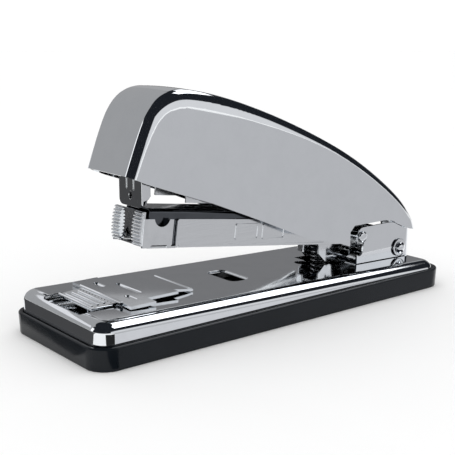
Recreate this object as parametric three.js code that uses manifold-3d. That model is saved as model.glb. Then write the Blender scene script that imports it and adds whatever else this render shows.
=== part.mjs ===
// Desk stapler: chromed steel handle, magazine and base cover on a black tray.
// Millimetres, +Z up, front (staple end) towards -X, near side towards -Y.
// The origin is the centre of the underside of the tray.

import * as THREE from 'three';
import { mergeVertices } from 'three/addons/utils/BufferGeometryUtils.js';
import Module from 'manifold-3d';

const wasm = await Module();
wasm.setup();

// ---------- driving dimensions ----------

const FIT = 0.3;                          // gap kept between pieces that touch
const REACH = 20;                         // half length of a drill that passes right through

const BASE = { length: 170, width: 60.4, corner: 8.2 };
const TRAY = { height: 8, draft: 0.36, rim: 1.7, floor: 3 };
const COVER = { inset: 2, sheet: 1, roll: 3.8, bottom: TRAY.floor + FIT };
const COVER_TOP_FRONT = 16;               // height of the cover at the front end of the tray
const COVER_TOP_REAR = 10.75;             // and at the rear end

// Openings in the cover's top.
const WELL = { front: -81, rear: -63, half: 12.8, depth: 2.2, lip: 0.4 };
const TRAY_SLOT = { front: -12.4, rear: -4.4, half: 8.2, corner: 2 };
const POST_HOLE = { x: 30.6, radius: 3 };
const SPRING_WINDOW = { front: 34.2, rear: 47, half: 8.4 };
const KEEPER_SLOT = { front: -57, rear: -44, y: 5, half: 1.4 };

// Four threaded posts hold the cover, and four screws come up through the tray into them.
const POST = { outer: 2.8, inner: 1.6, cap: 1.2 };
const SCREW = {
  hole: 1.7, recess: 3.2, headLow: 0.4, headHigh: 1.3, seat: 1.5, shank: 1.35, tip: 7.5, head: 2.9,
  slot: { half: 2.2, width: 0.7, depth: 0.5 },
};
const PLACES = [
  { name: 'front_near', x: -66, y: -21 }, { name: 'front_far', x: -66, y: 21 },
  { name: 'rear_near', x: 64, y: -21 }, { name: 'rear_far', x: 64, y: 21 },
];

// The pivot carries the bracket's cheeks, the magazine's ears and the handle's frame.
const PIVOT = { x: 72.6, z: 15.4, pin: 1.6, hole: 1.9, washer: 3.8, spacer: 3.2, sheet: 0.6, dome: 2.5, rise: 1.2 };
const TILT = THREE.MathUtils.degToRad(7.6);   // magazine above level at rest; it closes by 7 degrees

const BRACKET = { front: 47.4, back: 80, half: 15, sheet: 0.8, top: 27, corner: 4 };
const BRACKET_FLOOR = { front: 50.5, rear: 65.5 };
const BRACKET_RIVET = { y: 10.5, radius: 1.2, hole: 1.5, head: 2.2, cap: 0.8 };
const BRACKET_RIVET_ROWS = [{ name: 'front', x: 56 }, { name: 'rear', x: 62 }];
const SIDES = [{ name: 'near', sign: -1 }, { name: 'far', sign: 1 }];

// The stop pin rides in an arc slot about the pivot.
const STOP = {
  radius: 23.7, angle: THREE.MathUtils.degToRad(19.2), pin: 1.5, head: 2.3, slot: 1.9,
  slotLow: THREE.MathUtils.degToRad(4), slotHigh: THREE.MathUtils.degToRad(20),
};

const RETURN_SPRING = { x: 41, radius: 3.7, wire: 0.45, turns: 6, bottom: 5.8, top: 18.2 };
const SPRING_SEAT = { outer: 5.2, inner: 4.5, top: 6.4, floor: 0.9 };

// The anvil plate slides on the cover; the keeper under the cover holds it down.
const ANVIL = { rise: 1.75, sheet: 1, throw: 5.7, groove: PIVOT.x - 126.2 };
const PAD = {
  front: -65.2, rear: -42, half: 14.3, wing: 19.5, wingRear: -55, tail: -33.6, tailHalf: 11.6, fold: 1.4,
};
const GRIP = { front: -75.5, half: 11.5, sheet: 0.9, ribs: 3, ribHalf: 8.6, firstRib: 1.6, ribPitch: 2.5 };
const POCKET = { half: 1, depth: 0.6, grooveHalf: 7.6, inner: 7.2, outer: 13.6 };
const KEEPER = { half: 8, sheet: 1.2, play: 0.4, overlap: 1, neckHalf: 1 };
const DETENT = { half: 4, clamp: -20, step: -27.4, bend: -40, crest: -50, tip: -55, wire: 0.6 };

// The magazine is drawn in its own frame: u forward of the pivot, v above the pivot's level.
const CHANNEL = { half: 8.3, sheet: 0.7, bottom: 0.63, top: 10.9, front: 112.5, ear: 3.4, earEnd: 9 };
const TOP_CHANNEL = { half: 7.3, sheet: 0.6, bottom: 1.7, top: 14.4, rear: 14, front: 124.4, roll: 1.6 };
const STIRRUP = { half: 6, sheet: 0.8, front: 38.5, rear: 25 };
const GUIDE = { u: 42, sheet: 1.1, half: 1.5, low: -3.8, footHalf: 2.2, footRear: 1.6, footFront: 6, foot: 0.8 };
const HANDLE_SPRING = { u: 76, radius: 3.4, wire: 0.45, turns: 4, bottom: 15.3, top: 22.2 };

// Tall plate over the nose, upright when the stapler is at rest, with folded side flanges.
const SHIELD = {
  x: -52, low: 46.3, high: 62, half: 7.2, sheet: 0.8, corner: 2.2, flange: 3, flangeSheet: 0.7,
  line: { y: 2.2, width: 0.5, depth: 0.4, low: 52.5 }, hole: { z: 50.4, radius: 0.9 },
};

const RAIL = { half: 5.6, sheet: 0.7, bottom: 2.5, top: 8, rear: 27, front: 125.2 };
const ROD = { v: 4.8, radius: 0.8 };
const BLOCKS = [
  { name: 'rail_front_block', rear: 122.2, front: 125 },
  { name: 'rail_rear_block', rear: RAIL.rear + 0.3, front: RAIL.rear + 3.2 },
];
const PUSHER = { front: 121, length: 9, half: 6.3, top: 9, bottom: 1.75, play: 0.25 };
const PUSHER_SPRING = { radius: 1.7, wire: 0.3, turns: 22, rear: RAIL.rear + 3.6 };
const CLIP = {
  half: 9.4, sheet: 0.8, back: 127, rear: 115, bottom: 1.4, top: 13.4, plate: 0.9, wing: 1.6, wingInner: 3.7,
  ribs: 10, rib: 1.3, vee: 7.6, notch: { u: 120, v: 11.5, radius: 3.4 },
};
const BLADE = { inner: 125.9, outer: 126.5, half: 6, low: 6.9, high: 16.6 };

// The handle closes on the magazine by 6.5 degrees.
const SHELL = { sheet: 1, roll: 3.3, halfFront: 14.4, halfRear: 17, front: -62, rear: 82.6 };
const FRAME = { half: 10, sheet: 0.8, ear: 3.8 };
const TIE = { x: -3.8, z: 51.5, radius: 1.5, hole: 1.8 };
const HOLDER_HALF = 8.9;

// Outer side view of the shell from its front foot over the top to the rear foot.
const SHELL_KNOTS = [
  [-62, 59.2], [-58.4, 68.6], [-55.6, 75.2], [-53.4, 79.4], [-50.4, 83.2], [-46.6, 85.9],
  [-41.6, 87.4], [-36, 87.2], [-28, 85.8], [-18, 83.2], [-8, 80], [3, 76], [15, 71.1], [28, 65.2],
  [41, 58.6], [53.5, 51], [64.5, 43.2], [72.5, 36.6], [77.6, 30.9], [80.8, 26.4], [82.6, 21.5],
];

// Lower edge of the shell from front to rear, with the notch that clears the bracket.
const SHELL_EDGE = [
  [-70, 61.9], [-62.4, 59.6], [-54, 56], [-27, 46.4], [-4, 37], [19.5, 26.8], [34, 23.4],
  [42, 20.5], [42, 26.4], [44.4, 28.8], [62, 28.8], [66, 28.2], [71.7, 25.6], [76.9, 23.3], [90, 20.5],
];

// Upper and lower edges of the frame, measured from the pivot.
const FRAME_UPPER = [[-3.6, 17], [-27, 25.2], [-57, 33.5], [-100, 47.6], [-113, 51.6]];
const FRAME_LOWER = [
  [-116, 45], [-106.5, 41.6], [-107.8, 31.5], [-47.3, 23.6], [-22, 15], [-5.4, 12.5], [-4, 2],
];
const HOLDER_OUTLINE = [[-106, 42.4], [-106.5, 47.9], [-114.4, 50.3], [-116.8, 45.8]];

// ---------- materials ----------

function steel(color, roughness) {
  return new THREE.MeshStandardMaterial({ color, roughness, metalness: 1 });
}

const CHROME = steel(0xc9cdd2, 0.12);
const NICKEL = steel(0xb4b6b8, 0.3);
const SPRING_STEEL = steel(0x777a80, 0.35);
const BLACK = new THREE.MeshStandardMaterial({ color: 0x15181d, roughness: 0.35, metalness: 0 });

// ---------- solids ----------

function toSolid(geometry) {
  const g = geometry.clone();
  g.deleteAttribute('normal');
  g.deleteAttribute('uv');
  const merged = mergeVertices(g, 1e-4);
  return new wasm.Manifold(new wasm.Mesh({
    numProp: 3,
    vertProperties: new Float32Array(merged.attributes.position.array),
    triVerts: new Uint32Array(merged.index.array),
  }));
}

function toGeometry(solid) {
  const mesh = solid.getMesh();
  const g = new THREE.BufferGeometry();
  g.setAttribute('position', new THREE.BufferAttribute(new Float32Array(mesh.vertProperties), 3));
  g.setIndex(new THREE.BufferAttribute(new Uint32Array(mesh.triVerts), 1));
  g.computeVertexNormals();
  return g;
}

function box(x0, x1, y0, y1, z0, z1) {
  const g = new THREE.BoxGeometry(x1 - x0, y1 - y0, z1 - z0);
  g.translate((x0 + x1) / 2, (y0 + y1) / 2, (z0 + z1) / 2);
  return toSolid(g);
}

// A flat outline in X and Z, extruded across the stapler from y0 to y1.
function slab(points, y0, y1) {
  const shape = new THREE.Shape(points.map(([x, z]) => new THREE.Vector2(x, z)));
  const g = new THREE.ExtrudeGeometry(shape, { depth: y1 - y0, bevelEnabled: false });
  g.rotateX(Math.PI / 2);
  g.translate(0, y1, 0);
  return toSolid(g);
}

// A flat outline in X and Y, extruded upwards from z0 to z1.
function plate(points, z0, z1) {
  const shape = new THREE.Shape(points.map(([x, y]) => new THREE.Vector2(x, y)));
  const g = new THREE.ExtrudeGeometry(shape, { depth: z1 - z0, bevelEnabled: false });
  g.translate(0, 0, z0);
  return toSolid(g);
}

function cylinderY(x, z, radius, y0, y1, sides = 24) {
  const g = new THREE.CylinderGeometry(radius, radius, y1 - y0, sides);
  g.translate(0, (y0 + y1) / 2, 0);
  return toSolid(g).translate([x, 0, z]);
}

function cylinderZ(x, y, radius, z0, z1, sides = 20) {
  const g = new THREE.CylinderGeometry(radius, radius, z1 - z0, sides);
  g.rotateX(Math.PI / 2);
  g.translate(x, y, (z0 + z1) / 2);
  return toSolid(g);
}

function cylinderX(y, z, radius, x0, x1, sides = 12) {
  const g = new THREE.CylinderGeometry(radius, radius, x1 - x0, sides);
  g.rotateZ(Math.PI / 2);
  g.translate((x0 + x1) / 2, y, z);
  return toSolid(g);
}

// A turned piece about the Y axis: profile points are [radius, y], closed on the axis.
function turnedY(profile, x, z, sides = 24) {
  const g = new THREE.LatheGeometry(profile.map(([r, y]) => new THREE.Vector2(r, y)), sides);
  return toSolid(g).translate([x, 0, z]);
}

// A coil of round wire about the Z axis, rising from Z = 0; steps are counted per turn.
function helix(radius, pitch, turns, wire, steps, sides) {
  class Coil extends THREE.Curve {
    getPoint(t, target = new THREE.Vector3()) {
      const a = t * turns * 2 * Math.PI;
      return target.set(radius * Math.cos(a), radius * Math.sin(a), t * turns * pitch);
    }
  }
  const ring = [];
  for (let i = 0; i < sides; i += 1) {
    const a = (i / sides) * 2 * Math.PI;
    ring.push(new THREE.Vector2(wire * Math.cos(a), wire * Math.sin(a)));
  }
  const g = new THREE.ExtrudeGeometry(new THREE.Shape(ring), {
    steps: Math.round(turns * steps), extrudePath: new Coil(), bevelEnabled: false,
  });
  return toSolid(g);
}

function arcPoints(cx, cz, radius, from, to, count) {
  const points = [];
  for (let i = 0; i <= count; i += 1) {
    const a = from + ((to - from) * i) / count;
    points.push([cx + radius * Math.cos(a), cz + radius * Math.sin(a)]);
  }
  return points;
}

function roundedRectangle(x0, x1, y0, y1, radius, count = 8) {
  const quarter = Math.PI / 2;
  return [
    ...arcPoints(x1 - radius, y1 - radius, radius, 0, quarter, count),
    ...arcPoints(x0 + radius, y1 - radius, radius, quarter, 2 * quarter, count),
    ...arcPoints(x0 + radius, y0 + radius, radius, 2 * quarter, 3 * quarter, count),
    ...arcPoints(x1 - radius, y0 + radius, radius, 3 * quarter, 4 * quarter, count),
  ];
}

// Closed skin over a stack of rings with equal point counts, capped at both ends.
// Rings are lists of [x, y, z]; capPlane picks the two coordinates that the caps are drawn in.
function skin(rings, capPlane, flip = false) {
  const n = rings[0].length;
  const index = [];
  for (let k = 0; k + 1 < rings.length; k += 1) {
    for (let i = 0; i < n; i += 1) {
      const a = k * n + i;
      const b = k * n + ((i + 1) % n);
      index.push(a, b, b + n, a, b + n, a + n);
    }
  }
  const outline = rings[0].map((p) => new THREE.Vector2(p[capPlane[0]], p[capPlane[1]]));
  const last = (rings.length - 1) * n;
  const lastOutline = rings[rings.length - 1].map((p) => new THREE.Vector2(p[capPlane[0]], p[capPlane[1]]));
  for (const [a, b, c] of THREE.ShapeUtils.triangulateShape(outline, [])) {
    index.push(a, c, b);
  }
  for (const [a, b, c] of THREE.ShapeUtils.triangulateShape(lastOutline, [])) {
    index.push(last + a, last + b, last + c);
  }
  if (flip) {
    for (let i = 0; i < index.length; i += 3) {
      [index[i + 1], index[i + 2]] = [index[i + 2], index[i + 1]];
    }
  }
  const g = new THREE.BufferGeometry();
  g.setAttribute('position', new THREE.Float32BufferAttribute(rings.flat(2), 3));
  g.setIndex(index);
  return toSolid(g);
}

function mesh(name, solid, material) {
  const m = new THREE.Mesh(toGeometry(solid), material);
  m.name = name;
  return m;
}

function group(...children) {
  const g = new THREE.Group();
  g.add(...children.flat());
  return g;
}

// ---------- base ----------

function coverTop(x) {
  const t = (x + BASE.length / 2) / BASE.length;
  return COVER_TOP_FRONT + (COVER_TOP_REAR - COVER_TOP_FRONT) * t;
}

function baseOutline(inset) {
  const x = BASE.length / 2 - inset;
  const y = BASE.width / 2 - inset;
  return roundedRectangle(-x, x, -y, y, BASE.corner - inset);
}

function tray() {
  const flat = (inset, z) => baseOutline(inset).map(([x, y]) => [x, y, z]);
  const body = skin([flat(TRAY.draft, 0), flat(0, TRAY.height)], [0, 1]);
  const well = skin([flat(TRAY.rim, TRAY.floor), flat(TRAY.rim, TRAY.height + 1)], [0, 1]);
  let solid = body.subtract(well);
  for (const { x, y } of PLACES) {
    solid = solid.subtract(cylinderZ(x, y, SCREW.hole, -1, TRAY.floor + 1));
    solid = solid.subtract(cylinderZ(x, y, SCREW.recess, -1, SCREW.seat));
  }
  return mesh('base_tray', solid, BLACK);
}

// Pressed pan, upside down: straight skirt, rolled edge and a top that falls to the rear.
function pan(inset, drop, roll, bottom) {
  const rings = [];
  rings.push(baseOutline(inset).map(([x, y]) => [x, y, bottom]));
  const steps = 4;
  for (let k = 0; k <= steps; k += 1) {
    const a = (k / steps) * (Math.PI / 2);
    const inward = inset + roll * (1 - Math.cos(a));
    rings.push(baseOutline(inward).map(([x, y]) => [x, y, coverTop(x) - drop - roll + roll * Math.sin(a)]));
  }
  return skin(rings, [0, 1]);
}

// A pocket pressed into the front of the cover's top, which gives a finger room under the grip.
function pressedWell() {
  const top = coverTop(WELL.rear);
  return box(WELL.front - COVER.sheet, WELL.rear + COVER.sheet, -WELL.half - COVER.sheet,
    WELL.half + COVER.sheet, top - WELL.depth - COVER.sheet, top - WELL.lip);
}

function cover() {
  const under = COVER_TOP_REAR - COVER.sheet - 1;
  const over = COVER_TOP_FRONT + 1;
  const wellFloor = coverTop(WELL.rear) - WELL.depth;
  const slot = roundedRectangle(TRAY_SLOT.front, TRAY_SLOT.rear, -TRAY_SLOT.half, TRAY_SLOT.half,
    TRAY_SLOT.corner, 4);
  const holes = [
    box(WELL.front, WELL.rear, -WELL.half, WELL.half, wellFloor, over),
    plate(slot, under, over),
    cylinderZ(POST_HOLE.x, 0, POST_HOLE.radius, under, over),
    box(SPRING_WINDOW.front, SPRING_WINDOW.rear, -SPRING_WINDOW.half, SPRING_WINDOW.half, under, over),
  ];
  for (const { sign } of SIDES) {
    const y = sign * KEEPER_SLOT.y;
    holes.push(box(KEEPER_SLOT.front, KEEPER_SLOT.rear, y - KEEPER_SLOT.half, y + KEEPER_SLOT.half, under, over));
    for (const row of BRACKET_RIVET_ROWS) {
      holes.push(cylinderZ(row.x, sign * BRACKET_RIVET.y, BRACKET_RIVET.hole, under, over));
    }
  }
  const hollow = pan(COVER.inset + COVER.sheet, COVER.sheet, COVER.roll - COVER.sheet, COVER.bottom - 1);
  let solid = pan(COVER.inset, 0, COVER.roll, COVER.bottom).subtract(hollow).add(pressedWell());
  for (const hole of holes) {
    solid = solid.subtract(hole);
  }
  return mesh('base_cover', solid, CHROME);
}

function posts() {
  return PLACES.map(({ name, x, y }) => {
    const top = coverTop(x + POST.outer) - COVER.sheet - FIT;
    const solid = cylinderZ(x, y, POST.outer, TRAY.floor + FIT, top)
      .subtract(cylinderZ(x, y, POST.inner, 0, top - POST.cap));
    return mesh(`cover_post_${name}`, solid, NICKEL);
  });
}

function screws() {
  const { half, width, depth } = SCREW.slot;
  return PLACES.map(({ name, x, y }) => {
    const solid = cylinderZ(x, y, SCREW.head, SCREW.headLow, SCREW.headHigh)
      .add(cylinderZ(x, y, SCREW.shank, SCREW.headHigh - 0.3, SCREW.tip))
      .subtract(box(x - half, x + half, y - width / 2, y + width / 2, 0, SCREW.headLow + depth));
    return mesh(`tray_screw_${name}`, solid, NICKEL);
  });
}

// Cheek outline seen from the side, with its foot following the slope of the cover.
function cheekOutline(front, back) {
  const foot = (x) => coverTop(x) + FIT;
  return [
    [front, foot(front)],
    [back, foot(back)],
    [back, 20.5],
    [back - 2.2, 23.4],
    [72, 25.6],
    [66.5, BRACKET.top],
    ...arcPoints(front + 3, BRACKET.top - 3, 3, Math.PI / 2, Math.PI, 5),
  ];
}

function bracketPlan(inset) {
  const half = BRACKET.half - inset;
  const back = BRACKET.back - inset;
  const corner = BRACKET.corner - inset;
  return [
    [BRACKET.front - 1 - inset * 2, -half],
    ...arcPoints(back - corner, -half + corner, corner, -Math.PI / 2, 0, 5),
    ...arcPoints(back - corner, half - corner, corner, 0, Math.PI / 2, 5),
    [BRACKET.front - 1 - inset * 2, half],
  ];
}

function arcSlot() {
  const { radius, slot, slotLow, slotHigh } = STOP;
  const outer = arcPoints(PIVOT.x, PIVOT.z, radius + slot, Math.PI - slotLow, Math.PI - slotHigh, 6);
  const inner = arcPoints(PIVOT.x, PIVOT.z, radius - slot, Math.PI - slotHigh, Math.PI - slotLow, 6);
  const end = (a) => cylinderY(PIVOT.x - radius * Math.cos(a), PIVOT.z + radius * Math.sin(a), slot,
    -REACH, REACH, 16);
  return slab([...outer, ...inner].reverse(), -REACH, REACH).add(end(slotLow)).add(end(slotHigh));
}

function bracket() {
  const wall = plate(bracketPlan(0), 5, 30).subtract(plate(bracketPlan(BRACKET.sheet), 4, 31));
  const level = (x, lift) => [x, coverTop(x) + FIT + lift];
  const floor = [
    level(BRACKET_FLOOR.front, 0), level(BRACKET_FLOOR.rear, 0),
    level(BRACKET_FLOOR.rear, BRACKET.sheet), level(BRACKET_FLOOR.front, BRACKET.sheet),
  ];
  const into = BRACKET.sheet / 2;
  let solid = wall.intersect(slab(cheekOutline(BRACKET.front, BRACKET.back), -REACH, REACH))
    .add(slab(floor, -BRACKET.half + into, BRACKET.half - into))
    .subtract(arcSlot())
    .subtract(cylinderY(PIVOT.x, PIVOT.z, PIVOT.hole, -REACH, REACH));
  for (const row of BRACKET_RIVET_ROWS) {
    for (const { sign } of SIDES) {
      solid = solid.subtract(cylinderZ(row.x, sign * BRACKET_RIVET.y, BRACKET_RIVET.hole, 5, 20));
    }
  }
  return mesh('rear_bracket', solid, CHROME);
}

function bracketRivets() {
  const { y, radius, head, cap } = BRACKET_RIVET;
  return SIDES.flatMap((side) => BRACKET_RIVET_ROWS.map((row) => {
    const upper = coverTop(row.x - head) + FIT + BRACKET.sheet + FIT;
    const lower = coverTop(row.x + head) - COVER.sheet - FIT;
    const solid = cylinderZ(row.x, side.sign * y, radius, lower - cap / 2, upper + cap / 2, 16)
      .add(cylinderZ(row.x, side.sign * y, head, upper, upper + cap, 16))
      .add(cylinderZ(row.x, side.sign * y, head, lower - cap, lower, 16));
    return mesh(`bracket_rivet_${row.name}_${side.name}`, solid, NICKEL);
  }));
}

function pivotRivet() {
  const face = BRACKET.half + FIT + PIVOT.sheet + FIT;
  const steps = 4;
  const dome = (sign) => {
    const points = [];
    for (let i = 0; i < steps; i += 1) {
      const a = (i / steps) * (Math.PI / 2);
      points.push([PIVOT.dome * Math.cos(a), sign * (face + PIVOT.rise * Math.sin(a))]);
    }
    return [...points, [0, sign * (face + PIVOT.rise)]];
  };
  const profile = [...dome(-1).reverse(), [PIVOT.pin, -face], [PIVOT.pin, face], ...dome(1)];
  return mesh('pivot_rivet', turnedY(profile, PIVOT.x, PIVOT.z), CHROME);
}

function ring(name, radius, y0, y1, material) {
  const solid = cylinderY(PIVOT.x, PIVOT.z, radius, y0, y1)
    .subtract(cylinderY(PIVOT.x, PIVOT.z, PIVOT.hole, y0 - 1, y1 + 1));
  return mesh(name, solid, material);
}

function pivotRings() {
  const inner = BRACKET.half + FIT;
  const outer = inner + PIVOT.sheet;
  const spacerIn = FRAME.half + FIT;
  const spacerOut = BRACKET.half - BRACKET.sheet - FIT;
  return [
    ring('pivot_washer_near', PIVOT.washer, -outer, -inner, CHROME),
    ring('pivot_washer_far', PIVOT.washer, inner, outer, CHROME),
    ring('pivot_spacer_near', PIVOT.spacer, -spacerOut, -spacerIn, NICKEL),
    ring('pivot_spacer_far', PIVOT.spacer, spacerIn, spacerOut, NICKEL),
  ];
}

function springSeat() {
  const foot = TRAY.floor + FIT;
  const solid = cylinderZ(RETURN_SPRING.x, 0, SPRING_SEAT.outer, foot, SPRING_SEAT.top, 24)
    .subtract(cylinderZ(RETURN_SPRING.x, 0, SPRING_SEAT.inner, foot + SPRING_SEAT.floor, SPRING_SEAT.top + 1, 24));
  return mesh('spring_seat', solid, NICKEL);
}

function returnSpring() {
  const height = RETURN_SPRING.top - RETURN_SPRING.bottom;
  const solid = helix(RETURN_SPRING.radius, height / RETURN_SPRING.turns, RETURN_SPRING.turns,
    RETURN_SPRING.wire, 12, 6).translate([RETURN_SPRING.x, 0, RETURN_SPRING.bottom]);
  return mesh('magazine_spring', solid, SPRING_STEEL);
}

// ---------- anvil ----------

function anvilPlate() {
  const level = coverTop(ANVIL.groove) + ANVIL.rise;
  const low = level - ANVIL.sheet;
  const rest = (x) => coverTop(x) + FIT;
  const tail = [
    [PAD.rear - 0.5, low], [PAD.rear, low], [PAD.tail, rest(PAD.tail)],
    [PAD.tail, rest(PAD.tail) + 0.7], [PAD.rear, level], [PAD.rear - 0.5, level],
  ];
  const gripBack = level - 0.25;
  const gripFront = coverTop(GRIP.front) + 0.35;
  const grip = [
    [GRIP.front, gripFront - GRIP.sheet], [PAD.front + 0.5, gripBack - GRIP.sheet],
    [PAD.front + 0.5, gripBack], [GRIP.front, gripFront],
  ];
  const foldHalf = PAD.half - 0.7;
  let solid = box(PAD.front, PAD.rear, -PAD.half, PAD.half, low, level)
    .add(box(PAD.front, PAD.wingRear, -PAD.wing, PAD.wing, low, level))
    .add(slab(tail, -PAD.tailHalf, PAD.tailHalf))
    .add(slab(grip, -GRIP.half, GRIP.half))
    .add(box(PAD.front - 0.5, PAD.front - 0.5 + PAD.fold, -foldHalf, foldHalf, low, level + 0.05));
  for (let i = 0; i < GRIP.ribs; i += 1) {
    const x = GRIP.front + GRIP.firstRib + i * GRIP.ribPitch;
    const z = gripFront + ((x - GRIP.front) / (PAD.front - GRIP.front)) * (gripBack - gripFront);
    solid = solid.add(box(x - 0.5, x + 0.5, -GRIP.ribHalf, GRIP.ribHalf, z - 0.5, z + 0.45));
  }
  const pocket = (x, y0, y1) => box(x - POCKET.half, x + POCKET.half, y0, y1, level - POCKET.depth, level + 1);
  solid = solid.subtract(pocket(ANVIL.groove, -POCKET.grooveHalf, POCKET.grooveHalf));
  for (const { sign } of SIDES) {
    const wingEdge = sign * (PAD.wing - ANVIL.sheet / 2);
    solid = solid.add(box(PAD.front, PAD.wingRear, wingEdge - ANVIL.sheet / 2, wingEdge + ANVIL.sheet / 2,
      rest(PAD.front), level));
    const [y0, y1] = [sign * POCKET.inner, sign * POCKET.outer].sort((a, b) => a - b);
    solid = solid.subtract(pocket(ANVIL.groove - ANVIL.throw, y0, y1));
  }
  return mesh('anvil_plate', solid, CHROME);
}

function anvilKeeper() {
  const { half, sheet, play, overlap, neckHalf } = KEEPER;
  const x0 = KEEPER_SLOT.front + play;
  const x1 = KEEPER_SLOT.rear - ANVIL.throw - play;
  const under = coverTop(KEEPER_SLOT.rear) - COVER.sheet - FIT;
  const level = coverTop(ANVIL.groove) + ANVIL.rise - ANVIL.sheet - FIT;
  let solid = box(x0 - overlap, x1 + overlap, -half, half, under - sheet, under);
  for (const { sign } of SIDES) {
    const y = sign * KEEPER_SLOT.y;
    solid = solid.add(box(x0, x1, y - neckHalf, y + neckHalf, under - sheet / 2, level));
  }
  return mesh('anvil_keeper', solid, NICKEL);
}

// Leaf spring under the cover: clamped at its rear end, with a bend that presses on the keeper.
function anvilSpring() {
  const { half, clamp, step, bend, crest, tip, wire } = DETENT;
  const top = coverTop(clamp) - COVER.sheet - FIT;
  const outline = [
    [step + 0.4, top - wire], [clamp, top - wire], [clamp, top], [step, top], [bend, top - 2.4],
    [crest, top - 1.6], [tip, top - 2.6], [tip, top - 3.1], [crest, top - 2.1], [bend, top - 3],
  ];
  return mesh('anvil_detent_spring', slab(outline, -half, half), SPRING_STEEL);
}

// ---------- magazine (drawn in its own frame: x = -u, z = v) ----------

function uvSlab(points, y0, y1) {
  return slab(points.map(([u, v]) => [-u, v]).reverse(), y0, y1);
}

function uvBox(u0, u1, y0, y1, v0, v1) {
  return box(-u1, -u0, y0, y1, v0, v1);
}

function drillY(u, v, radius) {
  return cylinderY(-u, v, radius, -REACH, REACH);
}

// Holes for the stop pin, which is placed in the stapler's own frame.
function stopPinHole() {
  const angle = STOP.angle - TILT;
  return drillY(STOP.radius * Math.cos(angle), STOP.radius * Math.sin(angle), STOP.pin + FIT);
}

// Side plates and bottom as one folded channel, with round ears on the pivot.
function channel() {
  const { ear, bottom, top, front, half, sheet, earEnd } = CHANNEL;
  const outline = [
    [0, -ear], [ear, bottom - 1], [earEnd, bottom], [front, bottom],
    [front, top - 0.6], [front - 0.6, top], [30, top],
    [14, 8.4], [2, 3.8], ...arcPoints(0, 0, ear, Math.PI * 0.55, Math.PI * 1.5, 8),
  ];
  const inner = half - sheet;
  const solid = uvSlab(outline, -half, half)
    .subtract(uvBox(-10, front + 1, -inner, inner, bottom + sheet, REACH))
    .subtract(uvBox(-10, earEnd, -inner, inner, -10, REACH))
    .subtract(drillY(0, 0, PIVOT.hole))
    .subtract(stopPinHole());
  return mesh('magazine_channel', solid, CHROME);
}

function topChannel() {
  const { half, sheet, bottom, top, rear, front, roll } = TOP_CHANNEL;
  const inner = half - sheet;
  const section = [
    [-half, bottom], [half, bottom],
    ...arcPoints(half - roll, top - roll, roll, 0, Math.PI / 2, 4),
    ...arcPoints(-half + roll, top - roll, roll, Math.PI / 2, Math.PI, 4),
  ];
  const rings = [-front, -rear].map((x) => section.map(([y, z]) => [x, y, z]));
  const solid = skin(rings, [1, 2])
    .subtract(uvBox(rear - 1, front + 1, -inner, inner, bottom - 1, top - sheet))
    .subtract(stopPinHole());
  return mesh('magazine_top', solid, NICKEL);
}

function noseShield() {
  const { x, low, high, half, sheet, corner, flange, flangeSheet, line, hole } = SHIELD;
  const back = x + sheet;
  const face = [
    [-half, high], ...arcPoints(-half + corner, low + corner, corner, Math.PI, 1.5 * Math.PI, 4),
    ...arcPoints(half - corner, low + corner, corner, 1.5 * Math.PI, 2 * Math.PI, 4), [half, high],
  ];
  const side = [
    [back - 0.2, low + corner + 0.2], [back + flange, low + corner + 1.4],
    [back + flange, high], [back - 0.2, high],
  ];
  let solid = skin([x, back].map((plane) => face.map(([y, z]) => [plane, y, z])), [1, 2]);
  for (const { sign } of SIDES) {
    const y = sign * (half - flangeSheet / 2);
    const lineY = sign * line.y;
    solid = solid.add(slab(side, y - flangeSheet / 2, y + flangeSheet / 2));
    solid = solid.subtract(box(x - 1, x + line.depth, lineY - line.width / 2, lineY + line.width / 2,
      line.low, high + 1));
  }
  solid = solid.subtract(cylinderX(0, hole.z, hole.radius, x - 1, back + 1));
  return mesh('nose_shield', solid, CHROME);
}

function stopPin() {
  const y = BRACKET.half + FIT;
  const profile = [
    [0, -y - 0.8], [STOP.head - 0.5, -y - 0.8], [STOP.head, -y - 0.4], [STOP.head, -y], [STOP.pin, -y],
    [STOP.pin, y], [STOP.head, y], [STOP.head, y + 0.4], [STOP.head - 0.5, y + 0.8], [0, y + 0.8],
  ];
  const x = PIVOT.x - STOP.radius * Math.cos(STOP.angle);
  const z = PIVOT.z + STOP.radius * Math.sin(STOP.angle);
  return mesh('stop_pin', turnedY(profile, x, z, 20), CHROME);
}

// Folded bracket under the magazine that keeps the return spring in place.
function springStirrup() {
  const { half, sheet, front, rear } = STIRRUP;
  const top = CHANNEL.bottom - FIT;
  const side = [[rear, top], [rear + 3, -6.4], [front - 5, -7.4], [front - 0.5, -4], [front, top]];
  const solid = uvSlab(side, -half, half)
    .subtract(uvBox(rear - 5, front + 5, -half + sheet, half - sheet, -REACH, top - sheet));
  return mesh('spring_stirrup', solid, CHROME);
}

// Flat tongue that runs in the cover's round hole and keeps the magazine in line.
function guidePost() {
  const { u, sheet, half, low, footHalf, footRear, footFront, foot } = GUIDE;
  const top = CHANNEL.bottom - FIT;
  const solid = uvBox(u, u + sheet, -half, half, low, top)
    .add(uvBox(u - footRear, u + footFront, -footHalf, footHalf, top - foot, top));
  return mesh('guide_post', solid, CHROME);
}

// ---------- loading rail, front clip and pusher ----------

function rail() {
  const inner = RAIL.half - RAIL.sheet;
  const solid = uvBox(RAIL.rear, RAIL.front, -RAIL.half, RAIL.half, RAIL.bottom, RAIL.top)
    .subtract(uvBox(RAIL.rear - 1, RAIL.front + 1, -inner, inner, 0, RAIL.top - RAIL.sheet));
  return mesh('loading_rail', solid, NICKEL);
}

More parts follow.
